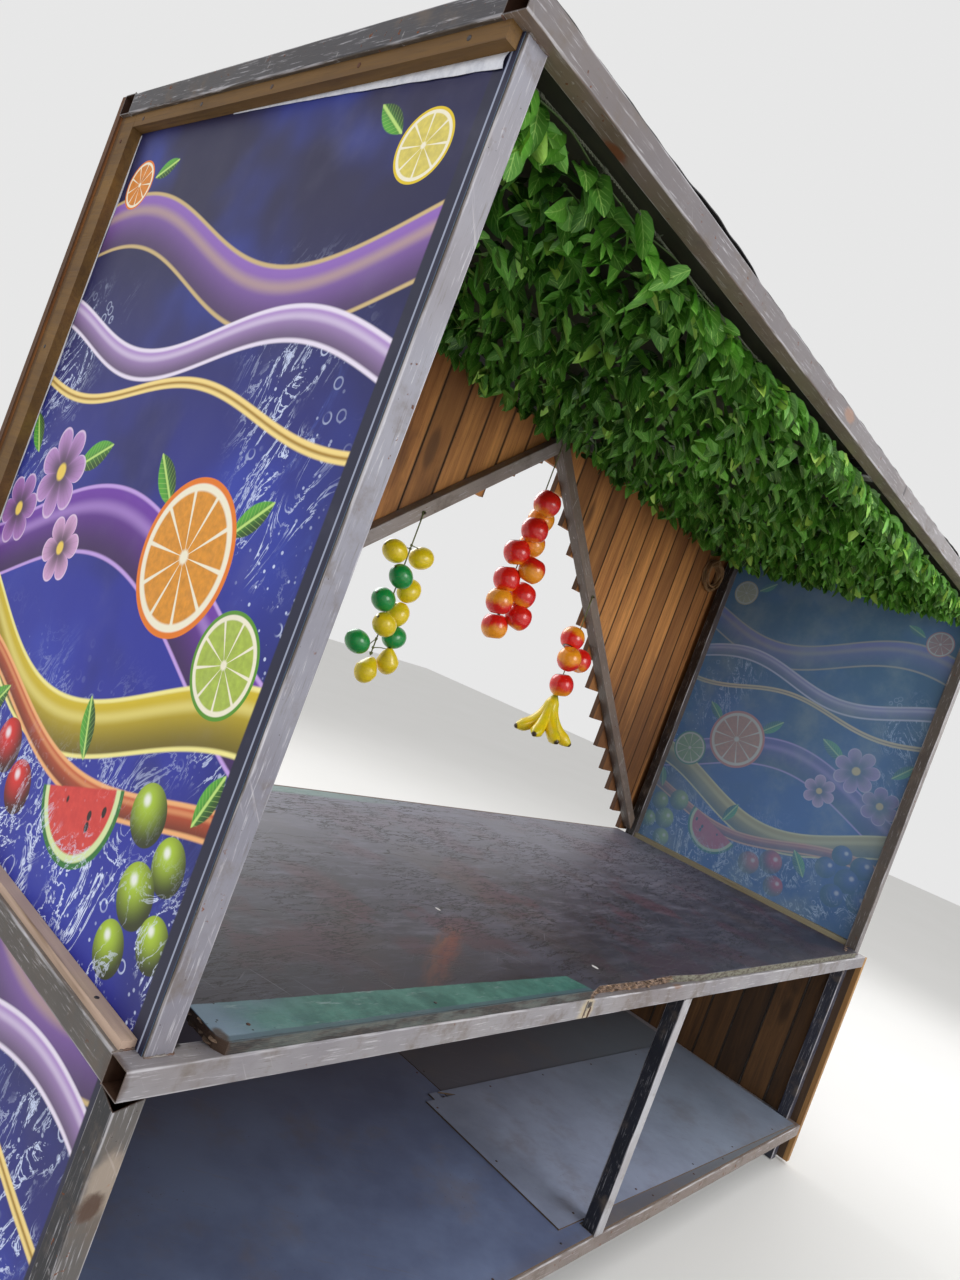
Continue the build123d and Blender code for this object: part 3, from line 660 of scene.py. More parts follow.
def banner_print(name, shift=(0.0, 0.0), zoom=1.0, width=1.006):
    """Printed cloth: a deep blue ground with violet ribbons, blossoms, cut fruit and sprays of water.

    The outer side shows the print. The inner side, marked by the attribute "inner", shows it through the
    cloth, pale and hazy. A navy strip, standing for the cloth's dark border and painted shade of the post's
    side face, with a thin light line runs down the edge at the front posts.
    """
    finish = Finish(name)
    across, up = finish.uv()
    u = across * zoom + shift[0]
    v = up * zoom + shift[1]
    flat = finish.join(u, v)

    def gap_to(centre, radius):
        """The two offsets from a centre and their length in radii."""
        dx, dy = u - centre[0], v - centre[1]
        return dx, dy, (dx * dx + dy * dy).power(0.5) / radius

    def ribbon(below, gap, half, colour, rim):
        """A band along a line: light above, dark below, with a thin rim."""
        body = gap.ramp(-half, half).between(shade(colour, 0.50), colour)
        body = body.under(abs(gap + half * -0.35).ramp(half * 0.30, 0.0) * 0.5, rim)
        body = body.under(abs(gap).ramp(half - 0.011, half - 0.006), rim)
        return below.under(abs(gap).ramp(half, half - 0.004), body)

    def wheel(below, centre, radius, rind, flesh, count):
        """A cut citrus wheel: rind, pale pith and wedges of flesh parted by thin lines."""
        dx, dy, away = gap_to(centre, radius)
        wedge = abs((dy.math("ARCTAN2", dx) * (count / 2)).sine()).ramp(0.10, 0.24)
        wedge = wedge * away.ramp(0.84, 0.80) * away.ramp(0.06, 0.12)
        pulp = flat.noise(90.0, 2.0).between(shade(flesh, 0.74), flesh)
        face = wedge.between((244, 238, 214), pulp)
        face = face.under(away.ramp(0.90, 0.93), rind)
        return below.under(away.ramp(1.0, 0.985), face)

    def ball(below, centre, radius, colour):
        """A round fruit: bright towards the light, dark at its far rim, with a small highlight."""
        away = gap_to(centre, radius)[2]
        lit = gap_to((centre[0] - 0.32 * radius, centre[1] + 0.36 * radius), radius)[2]
        body = lit.ramp(1.35, 0.05).between(shade(colour, 0.25), colour)
        body = body.under(lit.ramp(0.30, 0.06) * 0.8, (250, 250, 255))
        return below.under(away.ramp(1.0, 0.955), body)

    def blossom(below, centre, radius, count, colour, heart):
        """A flower: its rim follows the cosine of the turn, its petals lighten outwards."""
        dx, dy, away = gap_to(centre, radius)
        turn = dy.math("ARCTAN2", dx)
        petal = abs((turn * (count / 2) + 0.7).sine()).power(0.5) * 0.42 + 0.58
        reach = away / petal
        body = reach.ramp(0.15, 1.0).between(shade(colour, 0.45), colour)
        body = body.under(abs((turn * (count * 2.5)).sine()).ramp(0.25, 0.0) * 0.3, shade(colour, 0.6))
        body = body.under(reach.ramp(0.90, 0.97) * 0.6, (240, 226, 246))
        body = body.under(away.ramp(0.22, 0.14), heart)
        return below.under(reach.ramp(1.0, 0.965), body)

    def melon(below, centre, radius, lean):
        """A wedge of melon: half a disc with green rind, pale rim, red flesh and dark seeds."""
        dx, dy, away = gap_to(centre, radius)
        flat_side = dy * math.cos(lean) - dx * math.sin(lean)
        pulp = flat.noise(60.0, 3.0).between((190, 40, 44), (232, 78, 66))
        seed = flat.stretch((1.0, 0.7, 1.0)).cells(34.0).ramp(0.22, 0.16)
        pulp = pulp.under(seed * away.ramp(0.76, 0.70), (34, 16, 18))
        face = pulp.under(away.ramp(0.80, 0.84), (216, 232, 170))
        face = face.under(away.ramp(0.90, 0.93), (40, 116, 44))
        return below.under(away.ramp(1.0, 0.985) * flat_side.ramp(0.002, -0.002), face)

    def leaf(below, centre, lean, length, colour):
        """A pointed leaf: two arcs that meet at its ends, with a pale rib and side veins."""
        dx, dy = u - centre[0], v - centre[1]
        run = dx * math.cos(lean) + dy * math.sin(lean)
        side = dy * math.cos(lean) - dx * math.sin(lean)
        bulge = (1.0 - (run / length).power(2.0)) * (0.42 * length) - abs(side)
        body = side.ramp(-0.3 * length, 0.3 * length).between(shade(colour, 0.45), colour)
        vein = ((run - abs(side) * 0.8) * (34.0 / length)).sine().ramp(0.75, 1.0)
        body = body.under(vein * 0.35, (190, 224, 120))
        body = body.under(abs(side).ramp(0.0035, 0.001), (190, 224, 120))
        return below.under(bulge.ramp(0.0, 0.003), body)

    ground = v.ramp(0.35, 1.15).between((34, 44, 156), (26, 24, 66))
    glow = flat.noise(2.4, 3.0)
    ground = ground.under(glow.ramp(0.48, 0.72) * 0.6, (48, 72, 190))
    ground = ground.under(glow.ramp(0.46, 0.30) * 0.6, (16, 16, 62))
    ground = ground.under(abs(u - 0.5).ramp(0.34, 0.52) * 0.6, (16, 18, 70))
    right_jet = abs(u - 0.86 + (v - 0.70) * 0.35).ramp(0.17, 0.02) * v.ramp(0.20, 0.42)
    left_jet = abs(u - 0.12 - (v - 0.80) * 0.30).ramp(0.13, 0.02) * v.ramp(0.42, 0.55)
    low_jet = v.ramp(0.42, 0.10)
    wet = (right_jet * v.ramp(1.05, 0.85) + left_jet * v.ramp(1.0, 0.85) + low_jet).lower(1.0)
    drift = flat.turned(0.5).stretch((1.0, 0.42, 1.0))
    threads = abs(drift.noise(15.0, 5.0, 0.66, 1.9) - 0.5).ramp(0.026, 0.004)
    threads = threads * flat.noise(7.0, 2.0).ramp(0.42, 0.56)
    film = drift.noise(9.0, 5.0, 0.7, 1.2).ramp(0.56, 0.78)
    ring = abs(flat.cells(30.0) - 0.24).ramp(0.06, 0.02) * flat.noise(6.0).ramp(0.50, 0.58)
    drops = flat.cells(62.0).ramp(0.20, 0.12) * flat.noise(5.0).ramp(0.42, 0.58)
    sheet = ground.under(wet * film * 0.55, (96, 128, 226))
    sheet = sheet.under(wet * (threads * 0.9 + ring * 0.7 + drops * 0.8).lower(1.0), (214, 226, 255))
    for pace, start, sway, middle, half, tone, rim in (
        (6.0, 0.6, 0.070, 1.01, 0.055, (146, 104, 190), (206, 180, 128)),
        (7.5, 2.0, 0.045, 0.865, 0.030, (184, 150, 214), (236, 226, 246)),
        (8.4, 3.1, 0.030, 0.775, 0.011, (212, 164, 60), (248, 220, 140)),
        (4.9, -0.8, 0.095, 0.47, 0.062, (112, 54, 168), (196, 160, 232)),
        (5.4, 2.2, 0.085, 0.33, 0.048, (214, 188, 36), (246, 236, 150)),
        (6.2, 0.9, 0.050, 0.245, 0.024, (206, 84, 44), (244, 180, 120)),
    ):
        sheet = ribbon(sheet, v - ((u * pace + start).sine() * sway + middle), half, tone, rim)
    for centre, lean, length in (
        ((0.33, 0.655), 0.5, 0.060), ((0.07, 0.665), 2.3, 0.050), ((0.585, 0.655), 2.4, 0.055),
        ((0.83, 0.640), 0.7, 0.050), ((0.30, 0.205), 0.9, 0.055), ((0.62, 0.275), 2.0, 0.050),
        ((0.955, 0.300), 1.2, 0.045), ((0.20, 1.175), 0.4, 0.040), ((0.81, 1.195), 2.5, 0.042),
    ):
        sheet = leaf(sheet, centre, lean, length, (84, 168, 52))
    for centre, radius, rind, flesh, count in (
        ((0.705, 0.560), 0.118, (232, 122, 20), (248, 164, 44), 10),
        ((0.885, 0.455), 0.072, (86, 148, 30), (190, 214, 84), 9),
        ((0.895, 1.150), 0.052, (226, 196, 30), (244, 226, 110), 8),
        ((0.110, 1.150), 0.048, (232, 122, 20), (246, 150, 50), 9),
    ):
        sheet = wheel(sheet, centre, radius, rind, flesh, count)
    for centre, radius, count, tone in (
        ((0.225, 0.610), 0.088, 7, (190, 142, 206)), ((0.105, 0.520), 0.072, 6, (170, 116, 190)),
        ((0.325, 0.490), 0.064, 6, (212, 164, 210)),
    ):
        sheet = blossom(sheet, centre, radius, count, tone, (240, 206, 90))
    sheet = melon(sheet, (0.665, 0.200), 0.115, 0.35)
    blue, red, green = (72, 74, 176), (226, 40, 36), (176, 206, 52)
    for tone, x, y, radius in (
        (blue, 0.085, 0.285, 0.042), (blue, 0.165, 0.300, 0.038), (blue, 0.120, 0.220, 0.045),
        (blue, 0.205, 0.235, 0.040), (blue, 0.060, 0.165, 0.040), (blue, 0.150, 0.150, 0.043),
        (red, 0.400, 0.165, 0.046), (red, 0.480, 0.125, 0.044), (red, 0.360, 0.085, 0.040),
        (green, 0.845, 0.235, 0.043), (green, 0.925, 0.200, 0.038), (green, 0.880, 0.140, 0.044),
        (green, 0.950, 0.110, 0.036), (green, 0.865, 0.060, 0.038),
    ):
        sheet = ball(sheet, (x, y), radius, tone)
    front_rain = wet * v.ramp(0.30, 0.02) * (threads + drops * 0.6).lower(1.0)
    sheet = sheet.under(front_rain * 0.8, (220, 230, 255))
    inset = width * zoom + shift[0] - u
    # A navy strip at the edge: the cloth's dark border, and painted shade of the post's side face
    sheet = sheet.under(inset.ramp(0.034, 0.030), (24, 26, 54))
    sheet = sheet.under(inset.band(0.0085, 0.0125, 0.0008), (150, 158, 180))
    dust = finish.place().noise(6.0, 4.0, 0.65)
    hazy = sheet.under(glow * 0.1 + 0.54, (112, 160, 202))
    hazy = hazy.under(dust.ramp(0.40, 0.75) * 0.35, (150, 176, 186))
    shown = sheet.under(finish.attribute("inner"), hazy)
    colour = (dust.ramp(0.5, 0.8) * 0.10).between(shown, (150, 150, 170))
    weave = finish.place().noise(1400.0, 1.0)
    fold = finish.place().stretch((1.0, 1.0, 0.25)).noise(5.0, 2.0)
    return finish.paint(colour, 0.42 + 0.2 * dust, fold + weave * 0.04, 0.004, 0.25)


# Marks on the tubes: place, size in each direction, colour, share
leg_burn = ((LEFT + 0.018, FRONT, 0.6279), (0.015, 0.020, 0.018), (72, 48, 34), 0.95)
leg_tan = ((LEFT + 0.024, FRONT, 0.655), (0.020, 0.010, 0.040), (184, 166, 148), 0.5)
splice_drips = ((-0.451, FRONT, 0.779), (0.024, 0.012, 0.026), (176, 160, 132), 0.9)
splice_hole = ((-0.447, FRONT, 0.789), (0.010, 0.008, 0.007), (34, 24, 20), 1.0)
# A black spot by the left post's foot on the counter rail: painted shade of the gap under the tube's lifted
# corner
post_gap_shade = ((-1.3705, -0.4985, COUNTER), (0.0062, 0.0050, 0.006), (16, 12, 10), 1.0)
corner_rust = ((LEFT, FRONT + 0.020, 0.780), (0.008, 0.026, 0.030), (74, 54, 42), 0.6)
right_rust = ((-0.060, FRONT, 0.800), (0.020, 0.010, 0.006), (128, 92, 66), 0.7)
notch_rust = ((-1.2057, -0.500, ROOF), (0.022, 0.012, 0.02), (112, 58, 34), 0.9)
roof_scar = ((-0.298, FRONT, 2.104), (0.030, 0.01, 0.013), (150, 110, 84), 0.7)
roof_nick = ((0.150, FRONT, 2.106), (0.006, 0.01, 0.018), (44, 34, 40), 0.9)

# The first rim darkens the boards between about 0.85 and 1.2 m high; the second, at the top under the leaf
# mat, is painted shade
board_wood = timber(
    "board_wood", (244, 170, 94), (144, 84, 38), "x", "z", LEFT, BOARD_PITCH, weather=0.55,
    rims=(("z", 0.30, 1.75, 0.55, (88, 56, 34), 0.66), ("z", 1.94, 2.20, 0.10, (104, 62, 32), 0.30)),
)
finishes = {
    "front_counter_rail": worn_steel(
        "front_counter_steel", "x", (FRONT + HALF, COUNTER - HALF), (140, 137, 141), (98, 88, 82),
        rust=0.4, spots=(splice_drips, splice_hole, post_gap_shade, corner_rust, right_rust),
    ),
    "counter_side_rails": worn_steel(
        "side_counter_steel", "y", (None, COUNTER - HALF), (126, 122, 118), (84, 80, 76), rust=0.5,
        spots=(corner_rust,),
    ),
    # Painted shade: the legs' side tones are near black, and the right leg, set back behind the corner
    # timber, is dark blue-grey all over
    "front_left_leg": worn_steel(
        "left_leg_steel", "z", (LEFT + HALF, FRONT + HALF), (88, 84, 82), (18, 20, 27), rust=0.6,
        spots=(leg_tan, leg_burn),
    ),
    "front_middle_leg": worn_steel(
        "middle_leg_steel", "z", (MIDDLE, FRONT + HALF), (178, 180, 186), (28, 31, 42), rust=0.2,
    ),
    "front_right_leg": worn_steel(
        "right_leg_steel", "z", (RIGHT - HALF, FRONT + TUBE + HALF), (60, 62, 78), (44, 46, 60), rust=0.3,
    ),
    "front_left_post": worn_steel(
        "left_post_steel", "z", (POST_LEFT, POST_FRONT), (141, 141, 152), (100, 92, 86), rust=0.35,
    ),
    "front_right_post": worn_steel(
        "right_post_steel", "z", (POST_RIGHT, POST_FRONT), (124, 118, 118), (92, 84, 78), rust=0.5,
    ),
    "roof_front_rail": worn_steel(
        "roof_front_steel", "x", (FRONT + HALF, ROOF + HALF), (111, 105, 107), (80, 75, 74),
        (122, 106, 92), rust=0.6, spots=(notch_rust, roof_scar, roof_nick),
    ),
    "roof_cross_rails": worn_steel(
        "roof_side_steel", "y", (None, ROOF + HALF), (84, 80, 84), (58, 56, 61), (76, 68, 60), rust=0.8,
    ),
    "shelf_front_rail": worn_steel(
        "shelf_front_steel", "x", (FRONT + HALF, SHELF - HALF), (128, 116, 110), (92, 84, 78), rust=0.9,
    ),
    "left_brace": worn_steel("left_brace_steel", "x", None, (150, 139, 134), rust=0.4, tilt=0.7007),
    "right_brace": worn_steel(
        "right_brace_steel", "x", None, (128, 112, 100), (92, 80, 72), rust=0.4, tilt=-0.740,
    ),
    "back_counter_rail": worn_steel("back_steel_x", "x", (BACK - HALF, COUNTER - HALF), rust=0.6),
    "back_left_leg": worn_steel("back_left_leg_steel", "z", (LEFT + HALF, BACK - HALF), rust=0.7),
    "back_right_leg": worn_steel("back_right_leg_steel", "z", (RIGHT - HALF, BACK - HALF), rust=0.7),
    "shelf_back_rail": worn_steel("shelf_back_steel", "x", (BACK - HALF, SHELF - HALF), rust=0.7),
    "shelf_cross_rails": worn_steel("shelf_side_steel", "y", (None, SHELF - HALF), rust=0.7),
    "back_left_post": worn_steel(
        "back_left_post_steel", "z", (POST_LEFT, POST_BACK), (104, 94, 90), (78, 68, 62), rust=0.6,
    ),
    "back_right_post": worn_steel(
        "back_right_post_steel", "z", (POST_RIGHT, POST_BACK), (90, 82, 80), (44, 38, 36), rust=0.6,
    ),
    "roof_back_rail": worn_steel("roof_back_steel", "x", (BACK - HALF, ROOF + HALF), rust=0.6),
    **dict.fromkeys(("back_left_boards", "back_right_boards"), board_wood),
    "lower_back_boards": timber(
        "low_wood", (176, 116, 70), (94, 58, 34), "x", "z", LEFT, BOARD_PITCH, weather=0.6,
    ),
    # Painted shade: the end boards under the counter take a darker copy of the board wood
    "right_end_boards": timber(
        "shaded_end_wood", (132, 92, 52), (60, 40, 24), "y", "z", END_BOARD_START, END_BOARD_PITCH, weather=0.7,
    ),
    # Its rim darkens the timber's sides behind the front face: painted shade
    "right_corner_timber": timber(
        "corner_wood", (206, 160, 96), (140, 96, 50), None, "z", knots=0.3,
        rims=(("y", FRONT + 0.016, FRONT + 0.06, 0.0015, (52, 36, 26), 0.92),),
    ),
    "counter_board": film_ply(),
    "left_end_battens": timber(
        "batten_wood", (134, 98, 44), (92, 64, 28), None, "y", knots=0.3, weather=0.25,
        rims=(
            ("y", BACK - 0.016, BACK + 0.01, 0.003, (84, 58, 32), 0.85),
            ("z", COUNTER - 0.01, COUNTER + 0.034, 0.001, (196, 170, 152), 0.9),
        ),
    ),
    "right_end_battens": timber(
        "right_batten_wood", (134, 98, 44), (92, 64, 28), None, "y", knots=0.3, weather=0.25,
        rims=(("z", COUNTER + 0.004, COUNTER + 0.034, 0.001, (172, 166, 140), 0.7),),
    ),
    "ceiling_board": ceiling_ply(),
    **dict.fromkeys(("shelf_left_sheet", "shelf_right_sheet", "shelf_top_sheet"), sheet_face()),
}
for name, material in finishes.items():
    mesh = nodes[name].data
    mesh.materials.clear()
    mesh.materials.append(material)

# Meshes


class Shell:
    """Grids of points gathered into one mesh, each point with its flat coordinates and numbers."""

    def __init__(self, *numbers):
        self.points, self.quads, self.triangles, self.flat = [], [], [], []
        self.numbers = {name: [] for name in numbers}
        self.count = 0

    def store(self, points, flat, numbers):
        """Keep points of any shape (..., 3) and what goes with them; returns their indices."""
        shape = points.shape[:-1]
        self.points.append(points.reshape(-1, 3))
        blank = np.zeros((*shape, 2)) if flat is None else np.broadcast_to(flat, (*shape, 2))
        self.flat.append(blank.reshape(-1, 2))
        for name, kept in self.numbers.items():
            kept.append(np.broadcast_to(numbers.get(name, 0.0), shape).reshape(-1))
        index = np.arange(self.count, self.count + points.size // 3).reshape(shape)
        self.count += points.size // 3
        return index

    def tube(self, points, flat=None, ends=None, **numbers):
        """Closed rings along a path: points (copies, rings, around, 3).

        Quads join neighbouring rings, and a fan closes each end at the middle of its ring, or at the
        given end points (copies, 2, 3).
        """
        index = self.store(points, flat, numbers)
        after = np.roll(index, -1, axis=2)
        quads = np.stack([index[:, :-1], after[:, :-1], after[:, 1:], index[:, 1:]], axis=-1)
        self.quads.append(quads.reshape(-1, 4))

        def at_ends(values):
            """The means of the first and the last ring."""
            return np.stack([values[:, 0].mean(axis=1), values[:, -1].mean(axis=1)], axis=1)

        poles = at_ends(points) if ends is None else ends
        pole_flat = None if flat is None else at_ends(np.broadcast_to(flat, (*points.shape[:-1], 2)))
        pole_numbers = {
            name: at_ends(np.broadcast_to(value, points.shape[:-1])) for name, value in numbers.items()
        }
        first, last = np.moveaxis(self.store(poles, pole_flat, pole_numbers), 1, 0)
        for pole, start, end in ((first, after[:, 0], index[:, 0]), (last, index[:, -1], after[:, -1])):
            fan = np.stack([np.broadcast_to(pole[:, None], start.shape), start, end], axis=-1)
            self.triangles.append(fan.reshape(-1, 3))

    def plate(self, front, back, flat=None, **numbers):
        """A thin closed plate between two grids (rows, columns, 3) whose borders face each other."""
        top, low = (
            self.store(grid, flat, {**numbers, "inner": side}) for side, grid in enumerate((front, back))
        )
        faces = (
            (top[:-1, :-1], top[:-1, 1:], top[1:, 1:], top[1:, :-1]),
            (low[:-1, :-1], low[1:, :-1], low[1:, 1:], low[:-1, 1:]),
        )
        rim_top, rim_low = (
            np.concatenate([g[0, :-1], g[:-1, -1], g[-1, :0:-1], g[:0:-1, 0]]) for g in (top, low)
        )
        rim = (rim_top, rim_low, np.roll(rim_low, -1), np.roll(rim_top, -1))
        self.quads += [np.stack(corners, -1).reshape(-1, 4) for corners in (*faces, rim)]

    def piece(self, name, material, slot):
        """The gathered mesh as a piece that rides on the kiosk."""
        quads = np.concatenate(self.quads)
        triangles = np.concatenate([np.zeros((0, 3), int), *self.triangles])
        corners = np.concatenate([quads.ravel(), triangles.ravel()])
        sizes = np.concatenate([np.full(len(quads), 4), np.full(len(triangles), 3)])
        mesh = bpy.data.meshes.new(name)
        mesh.vertices.add(self.count)
        mesh.vertices.foreach_set("co", np.concatenate(self.points).astype(np.float32).ravel())
        mesh.loops.add(len(corners))
        mesh.loops.foreach_set("vertex_index", corners.astype(np.int32))
        mesh.polygons.add(len(sizes))
        mesh.polygons.foreach_set("loop_start", (np.cumsum(sizes) - sizes).astype(np.int32))
        mesh.uv_layers.new(name="flat")
        flat = np.concatenate(self.flat)[corners].astype(np.float32)
        mesh.uv_layers["flat"].data.foreach_set("uv", flat.ravel())
        for key, kept in self.numbers.items():
            layer = mesh.attributes.new(key, "FLOAT", "POINT")
            layer.data.foreach_set("value", np.concatenate(kept).astype(np.float32))
        mesh.update(calc_edges=True)
        mesh.validate()
        mesh.shade_smooth()
        mesh.set_sharp_from_angle(angle=math.radians(60))
        mesh.materials.append(material)
        piece = bpy.data.objects.new(name, mesh)
        bpy.context.collection.objects.link(piece)
        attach(piece, "root")
        return piece


def swept(path, radius, around):
    """Rings of points round paths (copies, steps, 3).

    Each ring lies across its path: its first arm is the tangent's cross product with a fixed direction, and
    its second is the tangent's cross product with the first.
    """
    tangent = np.gradient(path, axis=1)
    tangent /= np.linalg.norm(tangent, axis=-1, keepdims=True)
    first = np.cross(tangent, np.array([0.36, 0.48, 0.80]))
    first /= np.linalg.norm(first, axis=-1, keepdims=True)
    second = np.cross(tangent, first)
    turn = np.linspace(0, 2 * math.pi, around, endpoint=False)[:, None]
    size = np.broadcast_to(radius, path.shape[:-1])[..., None, None]
    ring = np.cos(turn) * first[:, :, None] + np.sin(turn) * second[:, :, None]
    return path[:, :, None] + size * ring


def frames_about(normal):
    """Rows of frames (copies, 3, 3) whose third row is the given direction."""
    normal = normal / np.linalg.norm(normal, axis=1, keepdims=True)
    first = np.cross(normal, np.array([0.48, 0.36, 0.80]))
    first /= np.linalg.norm(first, axis=1, keepdims=True)
    return np.stack([first, np.cross(normal, first), normal], axis=1)


# Leaves

MAT_TOP, MAT_BOTTOM = 2.0790, 2.0105
MAT_LEFT, MAT_RIGHT = LEFT + 0.073, RIGHT - 0.073
MAT_FRONT, MAT_BACK = -0.491, 0.469
MAT_LIMITS = ((0, MAT_LEFT, MAT_RIGHT), (1, MAT_FRONT, MAT_BACK), (2, MAT_BOTTOM, MAT_TOP))
BLADE_SKIN = 0.0003


def leaf_frames(azimuth, pitch, roll):
    """Rows of turned frames (copies, 3, 3): first along, then across, then the normal.

    Along points to the azimuth in the ground plane and down by the pitch; roll turns the other two
    about it.
    """
    along = np.stack([np.cos(azimuth) * np.cos(pitch), np.sin(azimuth) * np.cos(pitch), -np.sin(pitch)], -1)
    level = np.stack([-np.sin(azimuth), np.cos(azimuth), np.zeros_like(azimuth)], -1)
    upright = np.cross(along, level)
    across = level * np.cos(roll)[:, None] + upright * np.sin(roll)[:, None]
    return np.stack([along, across, np.cross(along, across)], axis=1)


def leaf_blades(base, azimuth, pitch, lengths):
    """Points and tips of many leaves.

    Each is a closed blade of eight points round by five rings: its half width grows as the square root
    of the length run and shrinks to the tip, the halves fold up from the rib, and the blade droops with
    the square of the length run, with a small ripple along its rim.
    """
    count = len(base)
    run = np.array([0.06, 0.24, 0.48, 0.72, 0.90])[None, :, None]
    side = np.array([1.0, 0.55, 0.0, -0.55, -1.0, -0.55, 0.0, 0.55])[None, None, :]
    skin = np.array([0.0, 1.0, 1.0, 1.0, 0.0, -1.0, -1.0, -1.0])[None, None, :] * BLADE_SKIN
    length = random.uniform(*lengths, (count, 1, 1))
    width = length * random.uniform(0.28, 0.36, (count, 1, 1))
    outline = width * 1.78 * run**0.52 * (1 - run) ** 0.74
    fold = random.uniform(0.10, 0.60, (count, 1, 1))
    droop = random.uniform(-0.10, 0.45, (count, 1, 1)) * length
    lift = fold * abs(side) ** 1.5 * outline - droop * run**2
    phase = random.uniform(0.0, 6.0, (count, 1, 1))
    ripple = 0.16 * outline * np.sin(run * 11.0 + phase) * side
    sweep = random.uniform(-0.12, 0.12, (count, 1, 1)) * length * run**2
    local = np.stack(
        np.broadcast_arrays(run * length, side * outline + sweep, lift + ripple + skin), axis=-1
    )
    tips = np.zeros((count, 2, 3))
    tips[:, 1, 0] = length[:, 0, 0]
    tips[:, 1, 1] = sweep[:, -1, 0] * 1.2
    tips[:, 1, 2] = -droop[:, 0, 0]
    frames = leaf_frames(azimuth, pitch, random.normal(0.0, 0.55, count))
    points = np.einsum("krsi,kij->krsj", local, frames) + base[:, None, None]
    ends = np.einsum("kri,kij->krj", tips, frames) + base[:, None]
    flat = np.stack(np.broadcast_arrays(run, side), axis=-1)
    return points, ends, flat


def keep_within(points, ends, limits):
    """Move each leaf, without turning it, so that it stays between the limits (axis, low, high)."""
    count = len(points)
    for axis, low, high in limits:
        spread = np.concatenate([points[..., axis].reshape(count, -1), ends[..., axis]], axis=1)
        move = np.clip(low - spread.min(axis=1), 0, None) - np.clip(spread.max(axis=1) - high, 0, None)
        points[..., axis] += move[:, None, None]
        ends[..., axis] += move[:, None]


def add_mat(shell, front, back, count_x, count_y, lengths):
    """Part of the mat: leaves on a jittered grid, hanging to the front with their tips down."""
    gx, gy = np.meshgrid(np.linspace(0, 1, count_x), np.linspace(0, 1, count_y))
    x = MAT_LEFT + 0.02 + gx.ravel() * (MAT_RIGHT - MAT_LEFT - 0.03)
    y = front + gy.ravel() * (back - front)
    x = x + random.normal(0.0, 0.016, x.size)
    y = y + random.normal(0.0, 0.013, x.size)
    azimuth = random.normal(-2.0, 1.15, x.size)
    pitch = random.uniform(0.10, 1.25, x.size)
    ahead = 1 - (y - MAT_FRONT) / (MAT_BACK - MAT_FRONT)
    tuft = 0.5 + 0.5 * np.sin(x * 21.0 + 2.2 * np.sin(y * 17.0)) * np.sin(y * 24.0 + 1.7 * np.sin(x * 13.0))
    low = (0.55 * tuft + 0.45 * random.random(x.size)) ** 1.3
    z = MAT_TOP - 0.002 - low * 0.038
    # Painted shade: leaves set higher in the mat get a darker tone, and leaves towards the front may be
    # lighter
    tone = 0.50 * low**1.1 + 0.16 * random.random(x.size) + 0.20 * ahead * random.random(x.size) - 0.04
    tone = np.where(random.random(x.size) < 0.06, random.uniform(0.62, 1.0, x.size), np.clip(tone, 0, 0.62))
    points, ends, flat = leaf_blades(np.stack([x, y, z], -1), azimuth, pitch, lengths)
    keep_within(points, ends, MAT_LIMITS)
    shell.tube(points, flat, ends, tone=tone[:, None, None])


STRAND_X, STRAND_Y = -1.352, -0.464
STRAND_DROP = 0.062
STRAND_LIMITS = ((0, MAT_LEFT, -1.300), (1, MAT_FRONT + 0.0005, -0.430), (2, MAT_BOTTOM - 0.070, MAT_TOP))


def add_strand(shell):
    """Loose strand behind the front left post: large leaves that hang facing the front."""
    count = 17
    run = np.linspace(0, 1, count)
    x = STRAND_X + random.normal(0.0, 0.010, count) + 0.012 * np.sin(run * 9)
    y = STRAND_Y + random.normal(0.0, 0.008, count)
    z = MAT_TOP - 0.005 - run * STRAND_DROP
    azimuth = random.normal(-2.2, 0.75, count)
    pitch = random.uniform(0.75, 1.35, count)
    points, ends, flat = leaf_blades(np.stack([x, y, z], -1), azimuth, pitch, (0.062, 0.078))
    keep_within(points, ends, STRAND_LIMITS)
    tone = np.where(random.random(count) < 0.25, 0.80, random.uniform(0.25, 0.60, count))
    shell.tube(points, flat, ends, tone=tone[:, None, None])


def add_edge(shell):
    """Front fringe: leaves close behind the front rail, thin on the left and thick towards the right."""
    count = 420
    run = np.sort(random.random(count))
    x = MAT_LEFT + 0.42 + run * (MAT_RIGHT - MAT_LEFT - 0.45)
    y = MAT_FRONT + 0.004 + np.clip(0.28 - run, 0, 1) * 0.22 + abs(random.normal(0.0, 0.014, count))
    z = MAT_TOP - random.random(count) ** 1.5 * 0.022
    azimuth = random.normal(-0.35, 0.75, count)
    pitch = random.uniform(0.02, 0.95, count)
    points, ends, flat = leaf_blades(np.stack([x, y, z], -1), azimuth, pitch, (0.048, 0.080))
    keep_within(points, ends, MAT_LIMITS)
    pale, plain = random.uniform(0.6, 0.95, count), random.uniform(0.08, 0.52, count)
    tone = np.where(random.random(count) < 0.12, pale, plain)
    shell.tube(points, flat, ends, tone=tone[:, None, None])


leaf_material = leaf_cloth()
FRONT_EDGE, BACK_EDGE = -0.20, 0.12
shell = Shell("tone")
add_mat(shell, MAT_FRONT + 0.038, FRONT_EDGE, 72, 12, (0.060, 0.084))
add_edge(shell)
add_strand(shell)
front_leaves = shell.piece("front_leaves", leaf_material, "leaves")
for name, front, back in (
    ("middle_leaves", FRONT_EDGE, BACK_EDGE), ("back_leaves", BACK_EDGE, MAT_BACK - 0.012),
):
    shell = Shell("tone")
    add_mat(shell, front, back, 70, 12, (0.056, 0.080))
    shell.piece(name, leaf_material, "leaves")
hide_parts("ivy_mat")


